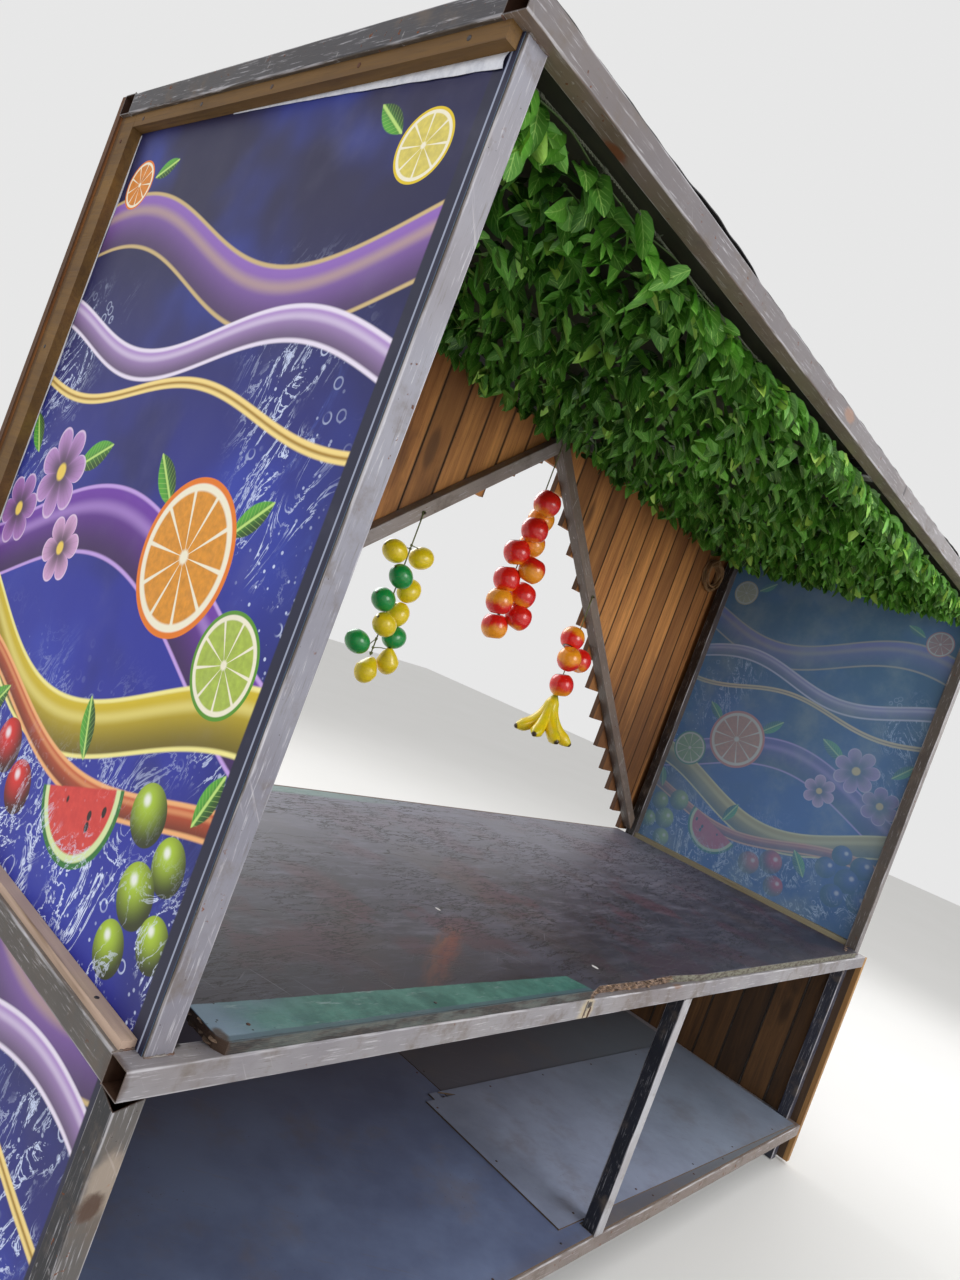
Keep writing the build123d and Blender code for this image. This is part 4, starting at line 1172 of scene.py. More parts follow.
def vine_paths(x_range, y, z, sway, wave, steps):
    """Paths along X (rows of y and z), swaying by two sines of the way."""
    run = np.linspace(0, 1, steps)
    x = x_range[0] + run * (x_range[1] - x_range[0])
    rows = len(y)
    phase = random.uniform(0, 6, (rows, 1))
    aside = sway * np.sin(run * wave + phase) + sway * 0.5 * np.sin(run * wave * 2.7 + phase * 2)
    below = sway * 0.6 * np.sin(run * wave * 1.6 + phase * 3)
    return np.stack(np.broadcast_arrays(x, np.array(y)[:, None] + aside, np.array(z)[:, None] + below), -1)


def twisted_pair(path, gap, turns):
    """Two paths that wind about a given one at a distance, half a turn apart."""
    run = np.linspace(0, 2 * math.pi * turns, path.shape[0])
    offset = np.stack([np.zeros_like(run), np.cos(run), np.sin(run)], -1) * gap
    return np.stack([path + offset, path - offset])


def coil_path(centre, radius, turns, steps):
    """Loose turns in the plane of the boards: the radius wavers with a sine of the turn."""
    run = np.linspace(0, 2 * math.pi * turns, steps)
    size = radius * (1 + 0.20 * np.sin(run * 0.83) + 0.07 * np.sin(run * 3.1))
    x = centre[0] + size * np.cos(run)
    y = centre[1] + 0.0120 * np.sin(run * 0.57)
    z = centre[2] + size * np.sin(run)
    return np.stack([x, y, z], -1)[None]


WIRE_Y, WIRE_Z = -0.462, 2.0765
WIRE, WIRE_GAP, KNOT_RADIUS, WIRE_END = 0.0009, 0.0013, 0.0026, 0.016
COIL_PLACE, COIL_RADIUS, VINE = (1.284, 0.499, 1.966), 0.054, 0.0026
shell = Shell("tone")
vine_y = np.linspace(MAT_FRONT + 0.03, MAT_BACK - 0.02, 11)
vines = vine_paths((MAT_LEFT + 0.004, MAT_RIGHT - 0.004), vine_y, np.full(11, 2.0700), 0.006, 38.0, 160)
shell.tube(swept(vines, 0.0014, 5), tone=0.0)
wire = vine_paths((LEFT + TUBE + 0.002, RIGHT - TUBE - 0.002), [WIRE_Y], [WIRE_Z], 0.0025, 15.0, 900)[0]
shell.tube(swept(twisted_pair(wire, WIRE_GAP, 190), WIRE, 5), tone=0.5)
knot_x = np.array([-1.330, -1.176, -1.012, -0.846, -0.610, -0.420, -0.180, 0.10, 0.36, 0.70, 0.98, 1.24])
knot_run = np.linspace(0, 2 * math.pi * 4, 60)
knot_at = wire[np.searchsorted(wire[:, 0], knot_x)]
knot_ring = [KNOT_RADIUS * np.cos(knot_run), KNOT_RADIUS * np.sin(knot_run)]
knot_turns = np.stack([knot_run * 0.00035 - 0.0044, *knot_ring], -1)
shell.tube(swept(knot_at[:, None] + knot_turns[None], WIRE, 5), tone=0.5)
end_run = np.linspace(0, 1, 8)[None, :, None]
end_way = np.concatenate([random.normal(0, 1, (12, 2)), random.normal(-0.4, 0.5, (12, 1))], 1)
end_way = end_way / np.linalg.norm(end_way, axis=1, keepdims=True) * WIRE_END
shell.tube(swept(knot_at[:, None] + end_run * end_way[:, None], 0.0008, 5), tone=0.5)
shell.tube(swept(coil_path(COIL_PLACE, COIL_RADIUS, 12, 480), VINE, 6), tone=1.0)
hanger = np.array([[1.286, 0.492, 2.052], [1.284, 0.496, 2.040], [1.285, 0.500, 2.018]])[None]
shell.tube(swept(hanger, 0.0012, 6), tone=1.0)
shell.piece("leaf_wires", vine_bark(), "leaves")

# Banners

CLOTH_HALF = 0.0004
CLOTH_INSET = 0.02875
HEM_HALF = 0.0003
HEM_TOP, HEM_FRONT, HEM_LENGTH = 2.0565, -0.496, 0.62
STRIP_FOOT, STRIP_BACK, STRIP_HEIGHT = 0.816, 0.4562, 1.236


def cloth(shell, x, y_range, z_range, outward, waves, rows=61, columns=49):
    """Printed cloth: a closed plate whose face swells by crossed sines, and not at all at its rims.

    Outward is -1 or +1, the side of the print.
    """
    up, along = np.meshgrid(np.linspace(0, 1, rows), np.linspace(0, 1, columns), indexing="ij")
    y = y_range[0] + along * (y_range[1] - y_range[0])
    z = z_range[0] + up * (z_range[1] - z_range[0])
    rim = np.clip(np.minimum.reduce([up, 1 - up, along, 1 - along]) * 14, 0, 1)
    swell = waves * rim * (np.sin(along * 7.0 + up * 3.0) * 0.6 + np.sin(up * 11.0 - along * 2.0) * 0.4)
    reading = (y_range[1] - y) if outward < 0 else (y - y_range[0])
    flat = np.stack([reading, z - z_range[0]], -1)
    outer = np.stack([x + outward * CLOTH_HALF + swell, y, z], -1)
    inner = outer - np.array([outward * 2 * CLOTH_HALF, 0, 0])
    if outward > 0:
        shell.plate(outer, inner, flat)
    else:
        shell.plate(outer[:, ::-1], inner[:, ::-1], flat[:, ::-1])


def hem(name, x, outward):
    """White edges that stick out between the cloth and its battens.

    The upper strip deepens towards the front with the power 1.4 of the way and is crumpled by sines; a
    narrow upright strip follows the back batten.
    """
    shell = Shell()
    way, down = np.meshgrid(np.linspace(0, 1, 90), np.linspace(0, 1, 7), indexing="ij")
    y = HEM_FRONT + way * HEM_LENGTH
    depth = 0.0025 + 0.019 * (1 - way) ** 1.4
    crumple = (np.sin(way * 61.0) * 0.5 + np.sin(way * 27.0 + down * 3.0) * 0.5) * (1 - way)
    out = 0.0010 + np.sin(down * math.pi * 0.9) * (0.0030 * (1 - way) + 0.0004) + 0.0008 * crumple * down
    z = HEM_TOP - down * depth - 0.0015 * crumple * down
    strips = [np.stack([x + outward * (out + HEM_HALF), y, z], -1)]
    way, aside = np.meshgrid(np.linspace(0, 1, 80), np.linspace(0, 1, 4), indexing="ij")
    z = STRIP_FOOT + way * STRIP_HEIGHT
    y = STRIP_BACK - aside * (0.0050 + 0.0012 * np.sin(way * 23.0))
    out = 0.0009 + 0.0005 * np.sin(way * 47.0) * aside
    strips.append(np.stack([x + outward * (out + HEM_HALF), y, z], -1))
    for index, strip in enumerate(strips):
        front = strip[::-1] if (outward < 0) == (index == 0) else strip
        shell.plate(front, front - np.array([outward * 2 * HEM_HALF, 0, 0]))
    return shell.piece(name, hem_material, "banner")


hem_material = hem_cloth()
upper_print = banner_print("upper_print")
lower_print = banner_print("lower_print", (0.02, 0.42), 0.92, 0.97)
upper_place = ((FRONT + 0.024, BACK - 0.020), (COUNTER, ROOF))
lower_place = ((FRONT + TUBE, BACK - TUBE), (SHELF, COUNTER - TUBE))
for name, x, place, outward, material, node, waves in (
    ("left_banner", LEFT + CLOTH_INSET, upper_place, -1, upper_print, "left_upper_banner", 0.0003),
    ("right_banner", RIGHT - CLOTH_INSET, upper_place, 1, upper_print, "right_upper_banner", 0.0003),
    ("low_banner", LEFT + HALF, lower_place, -1, lower_print, "left_lower_banner", 0.004),
):
    y_range, z_range = place
    shell = Shell("inner")
    cloth(shell, x, y_range, z_range, outward, waves)
    piece = shell.piece(name + "_cloth", material, "banner")
    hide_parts(node)
    hems = [hem(name + "_hem", x + outward * CLOTH_HALF, outward)] if place is upper_place else []
    size = (y_range[1] - y_range[0], z_range[1] - z_range[0])

# Roofing sheet

ROOFING_Z = ROOF + TUBE + 0.006
ROOFING_MARGIN, ROOFING_THICK = 0.012, 0.0018


def bump(x, start, end, height):
    """A smooth hump between two places along X: the square of half a sine wave."""
    return height * np.sin(np.clip((x - start) / (end - start), 0, 1) * math.pi) ** 2


shell = Shell()
deep, wide = np.meshgrid(np.linspace(0, 1, 30), np.linspace(0, 1, 241), indexing="ij")
x = LEFT + ROOFING_MARGIN + wide * (RIGHT - LEFT - 2 * ROOFING_MARGIN)
y = FRONT + ROOFING_MARGIN + deep * (BACK - FRONT - ROOFING_MARGIN)
lift = bump(x, -1.140, -0.770, 0.0075) + bump(x, -0.930, -0.760, 0.0030) + bump(x, -1.250, -1.120, 0.0015)
lift = lift + bump(x, -0.20, 0.25, 0.004) * deep + bump(x, 0.55, 0.90, 0.006) * (1 - deep * 0.4)
ripple = 0.0008 * (1 + np.sin(x * 47.0 + y * 5.0)) + 0.0006 * (1 + np.sin(x * 91.0 - y * 13.0))
height = ROOFING_Z + 0.0004 + lift * (1 - 0.25 * np.sin(y * 6.0)) + ripple
low_face = np.stack([x, y, height], -1)
shell.plate(low_face + np.array([0, 0, ROOFING_THICK]), low_face)
roofing_sheet = shell.piece("roofing_sheet", roofing(), "roofing")
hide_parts("roof_cover")

# Fruit


def spun(profile, around, lobes=0.0):
    """Rings of a body of revolution from (radius, height) pairs, with a slight lobed outline."""
    turn = np.linspace(0, 2 * math.pi, around, endpoint=False)
    radius, height = profile.T
    lobed = 1 + lobes * np.cos(5 * turn)[None] * (height / abs(height).max())[:, None] ** 2
    ring = np.stack([np.cos(turn), np.sin(turn)], -1)
    wide = radius[:, None, None] * lobed[..., None] * ring[None]
    return np.concatenate([wide, np.repeat(height[:, None, None], around, 1)], -1)


def lemon_profile(radius, half):
    """Half width is the sine of the angle down to the power 0.92, drawn out to a small tip at each end."""
    angle = np.linspace(math.pi - 0.06, 0.06, 21)
    wide = radius * np.sin(angle) ** 0.92
    tip = np.clip(abs(np.cos(angle)) - 0.88, 0, 1) / 0.12
    return np.stack([wide * (1 - 0.42 * tip), half * 0.97 * np.cos(angle) * (1 + 0.08 * tip)], -1)


def pear_profile(radius, half):
    """Round below, drawn in above by the power 0.8 of the height, like a small pear."""
    angle = np.linspace(math.pi - 0.06, 0.10, 21)
    wide = radius * np.sin(angle) * (1 - 0.40 * np.clip(np.cos(angle), 0, 1) ** 0.8)
    return np.stack([wide, half * 1.08 * np.cos(angle)], -1)


def apple_profile(radius, half):
    """A circle with its poles pressed in: the height loses a narrow bell round each pole."""
    angle = np.linspace(math.pi - 0.05, 0.05, 23)
    wide = radius * np.sin(angle) ** 0.9
    height = half * np.cos(angle) * (1 - 0.28 * np.exp(-((np.sin(angle) / 0.30) ** 2)))
    return np.stack([wide, height + 0.04 * radius * np.cos(angle)], -1)


def put_fruit(shell, profile, places, x, lobes=0.0):
    """Copies of one body beside a string, and the directions of their crowns.

    Each place is (across, forward, height over the counter in millimetres, lean in degrees, tone, green).
    """
    body = spun(profile, 20, lobes)
    rows = np.array(places, float)
    centre = np.array([x, STRING_Y, COUNTER]) + rows[:, :3] / 1000
    lean = np.radians(rows[:, 3])
    crown = np.stack([np.sin(lean), 0.18 * np.cos(rows[:, 2]), np.cos(lean)], -1)
    frames = frames_about(crown)
    points = np.einsum("rsi,kij->krsj", body, frames) + centre[:, None, None]
    level = (body[..., 2] - body[..., 2].min()) / np.ptp(body[..., 2])
    shell.tube(
        points, tone=rows[:, 4][:, None, None], green=rows[:, 5][:, None, None], height=level[None],
    )
    return centre, frames[:, 2]


def stalks(shell, centre, crown, x, reach):
    """Stalks: each starts on the string above its fruit and bends down into the fruit's crown."""
    run = np.linspace(0, 1, 9)[None, :, None]
    top = centre.copy()
    top[:, 0], top[:, 1] = x, STRING_Y
    top[:, 2] += 0.022
    end = centre + crown * reach
    middle = (top + end) / 2 + np.array([0, 0, 0.006])
    path = top[:, None] * (1 - run) ** 2 + middle[:, None] * 2 * run * (1 - run) + end[:, None] * run**2
    shell.tube(swept(path, 0.0015 - 0.0003 * run[..., 0], 6))
    turn = np.linspace(0, 2 * math.pi * 2.5, 40)
    wrap = np.stack([0.0031 * np.cos(turn), 0.0031 * np.sin(turn), turn * 0.0003], -1)
    shell.tube(swept(top[:, None] - np.array([0, 0, 0.002]) + wrap[None], 0.0012, 5))


LEMONS = (
    (-50, 0, 728, -78, 0, 0), (52, 0, 738, 70, 0, 0), (-25, -32, 668, -60, 0, 1), (52, 0, 640, 44, 0, 0),
    (-34, -8, 593, -70, 0, 1), (42, 0, 567, 30, 0, 0), (-22, -34, 530, -66, 0, 0), (56, -6, 503, 70, 0, 1),
    (-62, 0, 462, 112, 0, 1),
)
PEARS = ((54, -16, 436, -22, 0, 0), (-2, -8, 396, 24, 0, 0))
APPLES = (
    (-19, -42, 1046, 8, 0.14, 0), (27, -2, 1001, 20, 0.95, 0), (-28, -40, 956, -12, 0.06, 0),
    (30, 0, 919, 24, 0.80, 0), (-40, -14, 874, -18, 0.12, 0), (10, -54, 838, 6, 0.60, 0),
    (-34, -8, 786, -14, 0.10, 0), (35, -34, 756, 18, 0.20, 0), (-50, -26, 712, 168, 0.55, 0),
    (42, -44, 688, 12, 0.05, 0), (-4, -4, 635, -10, 0.48, 0),
)
MIXED = (
    (-33, -6, 694, 200, 0.45, 0), (48, -10, 629, 24, 0.16, 0), (-53, -38, 622, 150, 0.50, 0),
    (-18, -22, 528, -10, 0.26, 0),
)
lemon_skin = gloss_fruit("lemon_skin", (240, 210, 26), (216, 184, 20), (10, 146, 66), 0.5)
apple_skin = gloss_fruit("apple_skin", (226, 30, 22), (250, 158, 34), (110, 150, 40))
stalk_shell = Shell()

shell = Shell("tone", "green", "height")
for profile, places in ((lemon_profile(0.0325, 0.0385), LEMONS), (pear_profile(0.0325, 0.0380), PEARS)):
    centre, crown = put_fruit(shell, profile, places, LEFT_STRING)
    stalks(stalk_shell, centre, crown, LEFT_STRING, 0.033)
left_fruit = shell.piece("left_fruit", lemon_skin, "lemon")
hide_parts("left_garland_fruit")

apple = apple_profile(0.0425, 0.0415)
for name, x, places, node in (
    ("centre_fruit", CENTRE_STRING, APPLES, "centre_garland_fruit"),
    ("right_apples", RIGHT_STRING, MIXED, "right_garland_fruit"),
):
    shell = Shell("tone", "green", "height")
    centre, crown = put_fruit(shell, apple, places, x, 0.02)
    stalks(stalk_shell, centre, crown, x, 0.031)
    piece = shell.piece(name, apple_skin, "apple")
    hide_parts(node)


def banana_rings(turns, top, bend, sweep, radius):
    """Bananas: rings of five soft corners carried down a bent line and drawn in at both ends.

    The line runs straight down for the stem, round an arc of the bend and straight again at the tip, and
    is turned about the vertical by each of the turns.
    """
    stem, tip = 0.014, 0.026
    length = stem + bend * sweep + tip
    run = np.linspace(0, 1, 27)
    way = run * length
    angle = np.clip((way - stem) / bend, 0, sweep)
    after = np.clip(way - stem - bend * sweep, 0, None)
    out = bend * (1 - np.cos(angle)) + after * math.sin(sweep)
    down = bend * np.sin(angle) + after * math.cos(sweep) - np.clip(stem - way, 0, None)
    around = np.linspace(0, 2 * math.pi, 15, endpoint=False)
    at_stem = np.clip((way + 0.004) / 0.040, 0, 1) ** 0.62
    taper = at_stem * np.clip((length - way + 0.002) / 0.034, 0, 1) ** 0.55
    size = radius * np.clip(taper, 0.24, 1)[:, None] * (1 + 0.07 * np.cos(5 * around))[None]
    away = -out[:, None] + size * np.sin(around) * np.cos(angle)[:, None]
    height = -down[:, None] - size * np.sin(around) * np.sin(angle)[:, None]
    local = np.stack([-size * np.cos(around), away, height], -1)
    turns = np.radians(turns)
    spin = np.zeros((len(turns), 3, 3))
    spin[:, 0, 0] = spin[:, 1, 1] = np.cos(turns)
    spin[:, 0, 1], spin[:, 1, 0], spin[:, 2, 2] = np.sin(turns), -np.sin(turns), 1
    return np.einsum("rsi,kij->krsj", local, spin) + np.array([RIGHT_STRING, STRING_Y, top]), run


BANANA_TURNS, BANANA_TOP = (-112, -66, -20, 34), COUNTER + 0.478
shell = Shell("height")
points, run = banana_rings(BANANA_TURNS, BANANA_TOP, 0.140, math.radians(68), 0.0225)
shell.tube(points, height=run[None, :, None])
bananas = shell.piece("bananas", banana_skin(), "lemon")
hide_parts("right_garland_fruit")

twine_finish = twine()
tie_shell = Shell()
TIE_RADIUS, FOOT_RADIUS = 0.0042, 0.0034
tie_turn = np.linspace(0, 2 * math.pi * 3, 60)
tie_rise = TIE_RADIUS * np.sin(tie_turn) - 0.002
tie_loops = np.stack([TIE_RADIUS * np.cos(tie_turn), tie_turn * 0.00045 - 0.004, tie_rise], -1)
foot_ring = [FOOT_RADIUS * np.cos(tie_turn), FOOT_RADIUS * np.sin(tie_turn)]
foot_loops = np.stack([*foot_ring, tie_turn * 0.0003], -1)
for name, (node, x, top, _, length) in STRINGS.items():
    string = strings[name]
    string.data.materials.append(twine_finish)
    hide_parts(node)
    for z, loops in ((top, tie_loops), (top - length + 0.004, foot_loops)):
        tie_shell.tube(swept((np.array([x, STRING_Y, z]) + loops)[None], 0.0016, 6))
tie_shell.piece("string_ties", twine_finish, "string")
stalk_shell.piece("fruit_stalks", twine_finish, "string")

# Weld beads


def weld(shell, rows, radius):
    """Beads along lines (start, end), whose radius swells and shrinks with the sine of the way."""
    rows = np.array(rows)
    run = np.linspace(0, 1, 19)
    phase = random.uniform(0, 6, (len(rows), 1))
    path = rows[:, :1] + (rows[:, 1:] - rows[:, :1]) * run[None, :, None]
    path = path + random.normal(0, 0.0004, path.shape)
    swell = 0.85 + 0.30 * abs(np.sin(run * 17.0 + phase))
    size = radius * swell * np.sin(np.pi * (0.08 + 0.84 * run)) ** 0.35
    shell.tube(swept(path, size, 7))


def square_welds(x, y, z, sides):
    """Lines along some sides of a square tube's end; sides holds the letters of their directions."""
    low_x, high_x, low_y, high_y = x - HALF, x + HALF, y - HALF, y + HALF
    lines = {
        "f": ((low_x, low_y, z), (high_x, low_y, z)),
        "b": ((low_x, high_y, z), (high_x, high_y, z)),
        "l": ((low_x, low_y, z), (low_x, high_y, z)),
        "r": ((high_x, low_y, z), (high_x, high_y, z)),
    }
    return [lines[side] for side in sides]


def brace_height(x):
    """Height of the middle of a brace over x; the left one lies lower, under the head of the right one."""
    if x < MIDDLE:
        foot, head = COUNTER - 0.027, ROOF - 0.059
        return foot + (head - foot) * (x - LEFT) / (MIDDLE - LEFT)
    return COUNTER + (ROOF - COUNTER) * (RIGHT - x) / (RIGHT - MIDDLE)


lines = []
for x, inward in ((POST_LEFT, "r"), (POST_RIGHT, "l")):
    for y, sides in ((POST_FRONT, "fb"), (POST_BACK, "f")):
        lines += square_welds(x, y, COUNTER, sides + inward) + square_welds(x, y, ROOF, sides + inward)
for x, y, z, sides in (
    (MIDDLE, FRONT + HALF, COUNTER - TUBE, "lrb"), (MIDDLE, FRONT + HALF, SHELF, "lr"),
    (RIGHT - HALF, FRONT + TUBE + HALF, COUNTER - TUBE, "flb"),
    (LEFT + HALF, BACK - HALF, COUNTER - TUBE, "fr"), (RIGHT - HALF, BACK - HALF, COUNTER - TUBE, "fl"),
):
    lines += square_welds(x, y, z, sides)
for x in (LEFT, RIGHT - TUBE):
    for z in (COUNTER, COUNTER - TUBE, ROOF, ROOF + TUBE, SHELF):
        lines.append(((x, FRONT + TUBE, z), (x + TUBE, FRONT + TUBE, z)))
        lines.append(((x, BACK - TUBE, z), (x + TUBE, BACK - TUBE, z)))
for x in (LEFT + TUBE, RIGHT - TUBE):
    for low, high in ((COUNTER - TUBE, COUNTER), (ROOF, ROOF + TUBE), (SHELF - TUBE, SHELF)):
        lines.append(((x, FRONT + TUBE, low), (x, FRONT + TUBE, high)))
        lines.append(((x, BACK - TUBE, low), (x, BACK - TUBE, high)))
for x in (POST_LEFT + HALF, POST_RIGHT - HALF):
    centre = brace_height(x)
    lines.append(((x, BACK - TUBE, centre - 0.026), (x, BACK - TUBE, centre + 0.026)))
# The braces' meeting, their head under the roof, and both sides of the splice in the front rail
for y, (x, z), (end_x, end_z) in (
    (BACK - TUBE, (0.0400, 2.0415), (0.0860, 1.9995)), (BACK - TUBE, (MIDDLE, ROOF), (MIDDLE + 0.03, ROOF)),
    (FRONT, (-0.4560, 0.762), (-0.4570, 0.799)), (FRONT, (-0.4400, 0.762), (-0.4390, 0.784)),
):
    lines.append(((x, y, z), (end_x, y, end_z)))
BEAD_RADIUS = 0.0022
shell = Shell()
weld(shell, lines, BEAD_RADIUS)
shell.piece("weld_beads", rusty_metal("weld_metal", (150, 144, 140), (86, 78, 72)), "steel")

# Nails and screws

NAIL_HEAD, SCREW_HEAD, FLAT_NAIL, FOOT_SCREW, HEAD_HEIGHT = 0.0030, 0.0040, 0.0034, 0.0036, 0.0010
ROOF_NAILS, RAIL_NAILS, SHELF_NAILS = ROOF + HALF, COUNTER - 0.021, SHELF - HALF
FIRST_MIDDLE_BOARD, FIRST_RIGHT_BOARD, MIDDLE_LIFT = 12, 15, 0.024
RIGHT_LIFTS = (0.004, 0.022, 0.028, 0.044, 0.038, 0.020, 0.012, -0.002, -0.014, -0.024, -0.018, -0.005)
SHELF_TOP, UPPER_SHEET_TOP = SHELF + 0.004, SHELF + 0.008
SHEET_SKEW = 0.0279


def heads(shell, places, direction, radius, height):
    """Domed nail heads at places: four rings that shrink towards the top."""
    places = np.array(places, float)
    turn = np.linspace(0, 2 * math.pi, 8, endpoint=False)
    size = np.array([1.0, 1.0, 0.78, 0.40]) * radius
    level = np.array([-0.4, 0.35, 0.85, 1.0]) * height
    ring = np.stack([np.cos(turn), np.sin(turn)], -1)
    body = np.concatenate(
        [size[:, None, None] * ring[None], np.repeat(level[:, None, None], 8, axis=1)], axis=-1
    )
    frames = frames_about(np.broadcast_to(direction, places.shape))
    shell.tube(np.einsum("rsi,kij->krsj", body, frames) + places[:, None, None])


def board_foot(index):
    """Height of a back board's foot at its lower edge, over the middle of its brace.

    The left boards follow the brace, those at the middle hang higher and the right ones have own lifts.
    """
    low = min(brace_height(LEFT + edge * BOARD_PITCH) for edge in (index, index + 1))
    if index < FIRST_RIGHT_BOARD:
        return low + (MIDDLE_LIFT if index >= FIRST_MIDDLE_BOARD else 0.0)
    return low + RIGHT_LIFTS[(index - FIRST_RIGHT_BOARD) % len(RIGHT_LIFTS)]


back_nails, low_nails = [], []
for index in range(BOARD_COUNT):
    middle = LEFT + (index + 0.5) * BOARD_PITCH
    for aside in (-0.028, 0.028):
        dx, dz = random.normal(0, 0.003, 2)
        back_nails.append((middle + aside + dx, BOARD_FACE, ROOF_NAILS + dz))
        height = max(brace_height(middle + aside) + 0.016, COUNTER + 0.034)
        if height > board_foot(index) + 0.006:
            back_nails.append((middle + aside + dz, BOARD_FACE, height))
        low_nails.append((middle + aside + dx, BOARD_FACE, RAIL_NAILS + dz))
        low_nails.append((middle + aside + dz, BOARD_FACE, SHELF_NAILS + dx))
end_nails = []
for index in range(10):
    middle = END_BOARD_START + (index + 0.5) * END_BOARD_PITCH
    for aside in (-0.030, 0.030):
        for height in (RAIL_NAILS, SHELF_NAILS):
            end_nails.append((RIGHT + 0.018, middle + aside, height + random.normal(0, 0.003)))
corner_nails = [(RIGHT + 0.025, FRONT + 0.022, height) for height in (0.740, 0.430, 0.140)]
batten_screws = [(y, 2.068) for y in np.linspace(-0.44, 0.42, 5)]
batten_screws += [(BACK - 0.030, z) for z in (0.86, 1.22, 1.62, 2.03)]
left_screws = [(LEFT + 0.0075, y, z) for y, z in batten_screws]
right_screws = [(RIGHT - 0.0075, y, z) for y, z in batten_screws]
foot_screws = [(LEFT + 0.0175, y, COUNTER + 0.012) for y in (-0.40, -0.02, 0.36)]
shell = Shell()
for places, direction, radius in (
    (back_nails + low_nails, (0, 1, 0), NAIL_HEAD), (end_nails + corner_nails, (1, 0, 0), NAIL_HEAD),
    (left_screws, (-1, 0, 0), SCREW_HEAD), (right_screws, (1, 0, 0), SCREW_HEAD),
    (foot_screws, (0, 0, 1), FOOT_SCREW),
):
    heads(shell, places, direction, radius, HEAD_HEIGHT)
shelf_nails = []
for x in np.arange(LEFT + 0.16, RIGHT - 0.08, 0.235):
    if abs(x - MIDDLE) > 0.12:
        shelf_nails.append((x + random.normal(0, 0.012), FRONT + 0.022, SHELF_TOP))
for x in np.arange(LEFT + 0.20, RIGHT - 0.10, 0.31):
    shelf_nails.append((x + random.normal(0, 0.012), BACK - 0.022, SHELF_TOP))
shelf_nails += [(x, y, SHELF_TOP) for x in (MIDDLE - 0.014, MIDDLE + 0.016) for y in (0.12, 0.27, 0.42)]
sheet_nails = [(x, 0.006 - SHEET_SKEW * (x + 0.0785)) for x in (0.010, 0.215, 0.480, 0.760, 1.060, 1.330)]
sheet_nails += [(-0.052, -0.030), (-0.048, -0.250), (0.012, -0.462)]
sheet_nails += [(x, -0.470 - SHEET_SKEW * x) for x in (0.30, 0.63, 0.90, 1.22)]
shelf_nails += [(x, y, UPPER_SHEET_TOP) for x, y in sheet_nails]
shelf_nails += [(x, y, COUNTER_TOP) for x, y in ((-1.270, -0.500), (-0.90, -0.505), (0.42, -0.475))]
heads(shell, shelf_nails, (0, 0, 1), FLAT_NAIL, HEAD_HEIGHT)
nail_finish = rusty_metal("nail_metal", (84, 80, 82), (34, 30, 32))
shell.piece("nail_heads", nail_finish, "steel")
shell = Shell()
pin_places = [(x, top - 0.002) for _, x, top, _, _ in STRINGS.values()]
pins = np.array([[(x, BACK - TUBE + 0.002, z), (x, BACK - TUBE - 0.009, z)] for x, z in pin_places])
run = np.linspace(0, 1, 5)[None, :, None]
shell.tube(swept(pins[:, :1] * (1 - run) + pins[:, 1:] * run, 0.0017, 8))
heads(shell, pins[:, 1], (0, -1, 0), 0.0036, 0.0012)
shell.piece("string_pins", nail_finish, "steel")

# Torn edges of the counter board


def slivers(shell, start, way, length, width, thick, tone):
    """Flat pointed chips: rings of four points that narrow with the square root of the way left."""
    run = np.linspace(0, 1, 5)
    left = np.sqrt(1 - run * 0.98)[None, :, None]
    path = start[:, None] + way[:, None] * (run[None, :, None] * length[:, None, None])
    level = np.cross(way, np.array([0.0, 0.0, 1.0]))
    level /= np.linalg.norm(level, axis=1, keepdims=True)
    corner = np.array([(1.0, 1.0), (1.0, -1.0), (-1.0, -1.0), (-1.0, 1.0)])
    wide = (width[:, None, None] * left)[..., None] / 2
    tall = (thick[:, None, None] * left)[..., None] / 2
    side = corner[:, 0][None, None, :, None] * level[:, None, None] * wide
    rise = corner[:, 1][None, None, :, None] * np.array([0.0, 0.0, 1.0]) * tall
    shell.tube(path[:, :, None] + side + rise, tone=tone[:, None, None])


BREAK = np.array(
    [(-0.4425, -0.531), (-0.4005, -0.517), (-0.2085, -0.520), (-0.0785, -0.516), (0.0775, -0.527)]
)
BROKEN_END = -1.3262
count = 110
sliver_x = np.sort(random.uniform(-0.436, -0.075, count))
edge_y = np.interp(sliver_x, BREAK[:, 0], BREAK[:, 1])
layer = random.integers(0, 6, count)
start = np.stack([sliver_x, edge_y + 0.004, COUNTER + 0.0022 + layer * 0.0027], -1)
sliver_way = np.stack(
    [random.normal(0, 0.35, count), -np.ones(count), random.normal(0.0, 0.05, count)], -1
)
sliver_way /= np.linalg.norm(sliver_way, axis=1, keepdims=True)
sliver_length = random.uniform(0.005, 0.012, count)
shell = Shell("tone")
slivers(
    shell, start, sliver_way, sliver_length, random.uniform(0.005, 0.016, count),
    random.uniform(0.0012, 0.0024, count), random.random(count),
)
count = 26
layer = random.uniform(0.002, 0.016, count)
start = np.stack([np.full(count, BROKEN_END), random.uniform(-0.515, -0.36, count), COUNTER + layer], -1)
sliver_way = np.stack(
    [-np.ones(count), random.normal(-0.3, 0.35, count), random.normal(0.0, 0.06, count)], -1
)
sliver_way /= np.linalg.norm(sliver_way, axis=1, keepdims=True)
slivers(
    shell, start, sliver_way, random.uniform(0.004, 0.009, count), random.uniform(0.006, 0.022, count),
    random.uniform(0.0014, 0.0030, count), random.random(count) * 0.35,
)
curl_run = np.linspace(0, 1, 40)
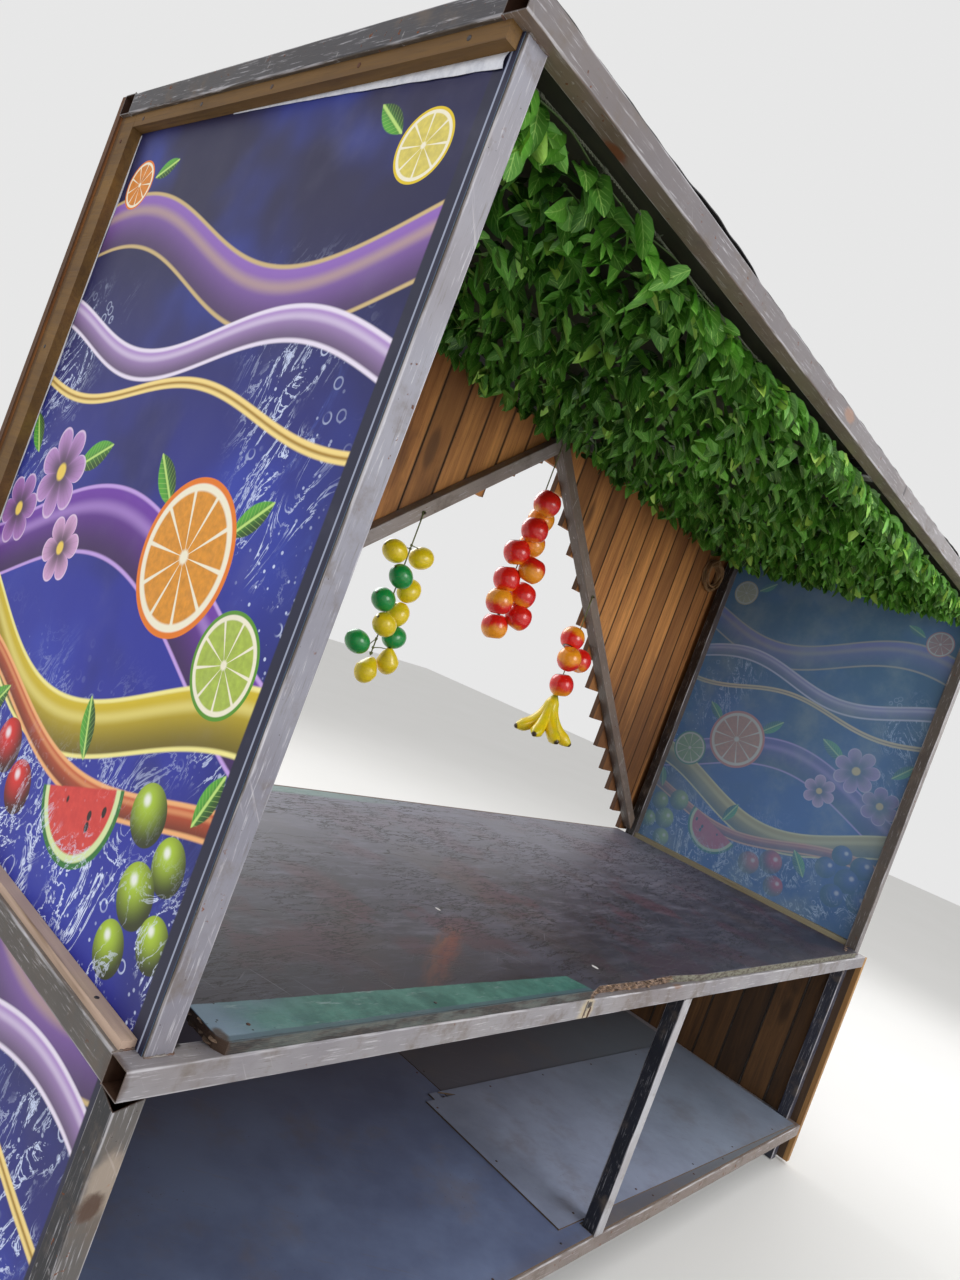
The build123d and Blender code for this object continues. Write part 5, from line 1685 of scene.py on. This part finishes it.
for x, y, reach, rise in (
    (1.300, -0.500, 0.050, 0.006), (1.335, -0.488, 0.030, 0.004), (1.262, -0.510, 0.034, 0.003),
):
    angle = curl_run * 2.2
    height = COUNTER_TOP + 0.0006 + rise * np.sin(angle) ** 2
    path = np.stack([x - reach * curl_run, y + 0.006 * np.sin(angle * 2), height], -1)
    shell.tube(swept(path[None], (0.0012 * (1 - 0.7 * curl_run))[None], 6), tone=0.75)
shell.piece("edge_splinters", raw_splinters(), "counter")

# Floor and light


def stage_finish():
    """Pale plain floor."""
    finish = Finish("floor_paint")
    cloud = finish.place().noise(1.2, 3.0)
    colour = cloud.between((226, 225, 222), (232, 231, 229))
    return finish.paint(colour, 0.85 + 0.05 * cloud)


FLOOR_HALF, FLOOR_Z = 14, -0.002
floor_mesh = bpy.data.meshes.new("floor")
floor_sides = ((-1, -1), (1, -1), (1, 1), (-1, 1))
floor_corners = [(x * FLOOR_HALF, y * FLOOR_HALF, FLOOR_Z) for x, y in floor_sides]
floor_mesh.from_pydata(floor_corners, [], [(0, 1, 2, 3)])
floor_mesh.materials.append(stage_finish())
floor = bpy.data.objects.new("floor", floor_mesh)
bpy.context.collection.objects.link(floor)


def lamp(name, place, aim, size, power):
    """A soft round lamp at a place, turned to what it lights."""
    data = bpy.data.lights.new(name, "AREA")
    data.shape = "DISK"
    data.size = size
    data.energy = power
    light = bpy.data.objects.new(name, data)
    bpy.context.collection.objects.link(light)
    light.rotation_euler = (Vector(aim) - Vector(place)).to_track_quat("-Z", "Y").to_euler()
    light.location = place


for name, place, aim, size, power in (
    ("key", (0.6, -4.6, 3.0), (0, 0, 1.2), 2.6, 120),
    ("left_fill", (-4.4, -0.8, 2.8), (-1.4, 0, 1.2), 3.0, 34),
    ("right_fill", (4.4, -0.4, 2.8), (1.4, 0, 1.0), 3.0, 50),
    ("back", (0.6, 4.4, 3.6), (0, 0, 1.2), 3.0, 110),
):
    lamp(name, place, aim, size, power)

WORLD_LIGHT = 0.70
world = bpy.data.worlds.new("studio")
bpy.context.scene.world = world
world.use_nodes = True
sky = world.node_tree
background = sky.nodes["Background"]
background.inputs["Color"].default_value = (1, 1, 1, 1)
background.inputs["Strength"].default_value = WORLD_LIGHT
paths = sky.nodes.new("ShaderNodeLightPath")
white = sky.nodes.new("ShaderNodeBackground")
seen = paths.outputs["Is Camera Ray"]
for ray in ("Is Glossy Ray", "Is Transmission Ray"):
    either = sky.nodes.new("ShaderNodeMath")
    either.operation = "MAXIMUM"
    sky.links.new(seen, either.inputs[0])
    sky.links.new(paths.outputs[ray], either.inputs[1])
    seen = either.outputs[0]
mixer = sky.nodes.new("ShaderNodeMixShader")
for place, output in enumerate((seen, background.outputs[0], white.outputs[0])):
    sky.links.new(output, mixer.inputs[place])
sky.links.new(mixer.outputs[0], sky.nodes["World Output"].inputs["Surface"])

bpy.context.scene.view_settings.view_transform = "Standard"
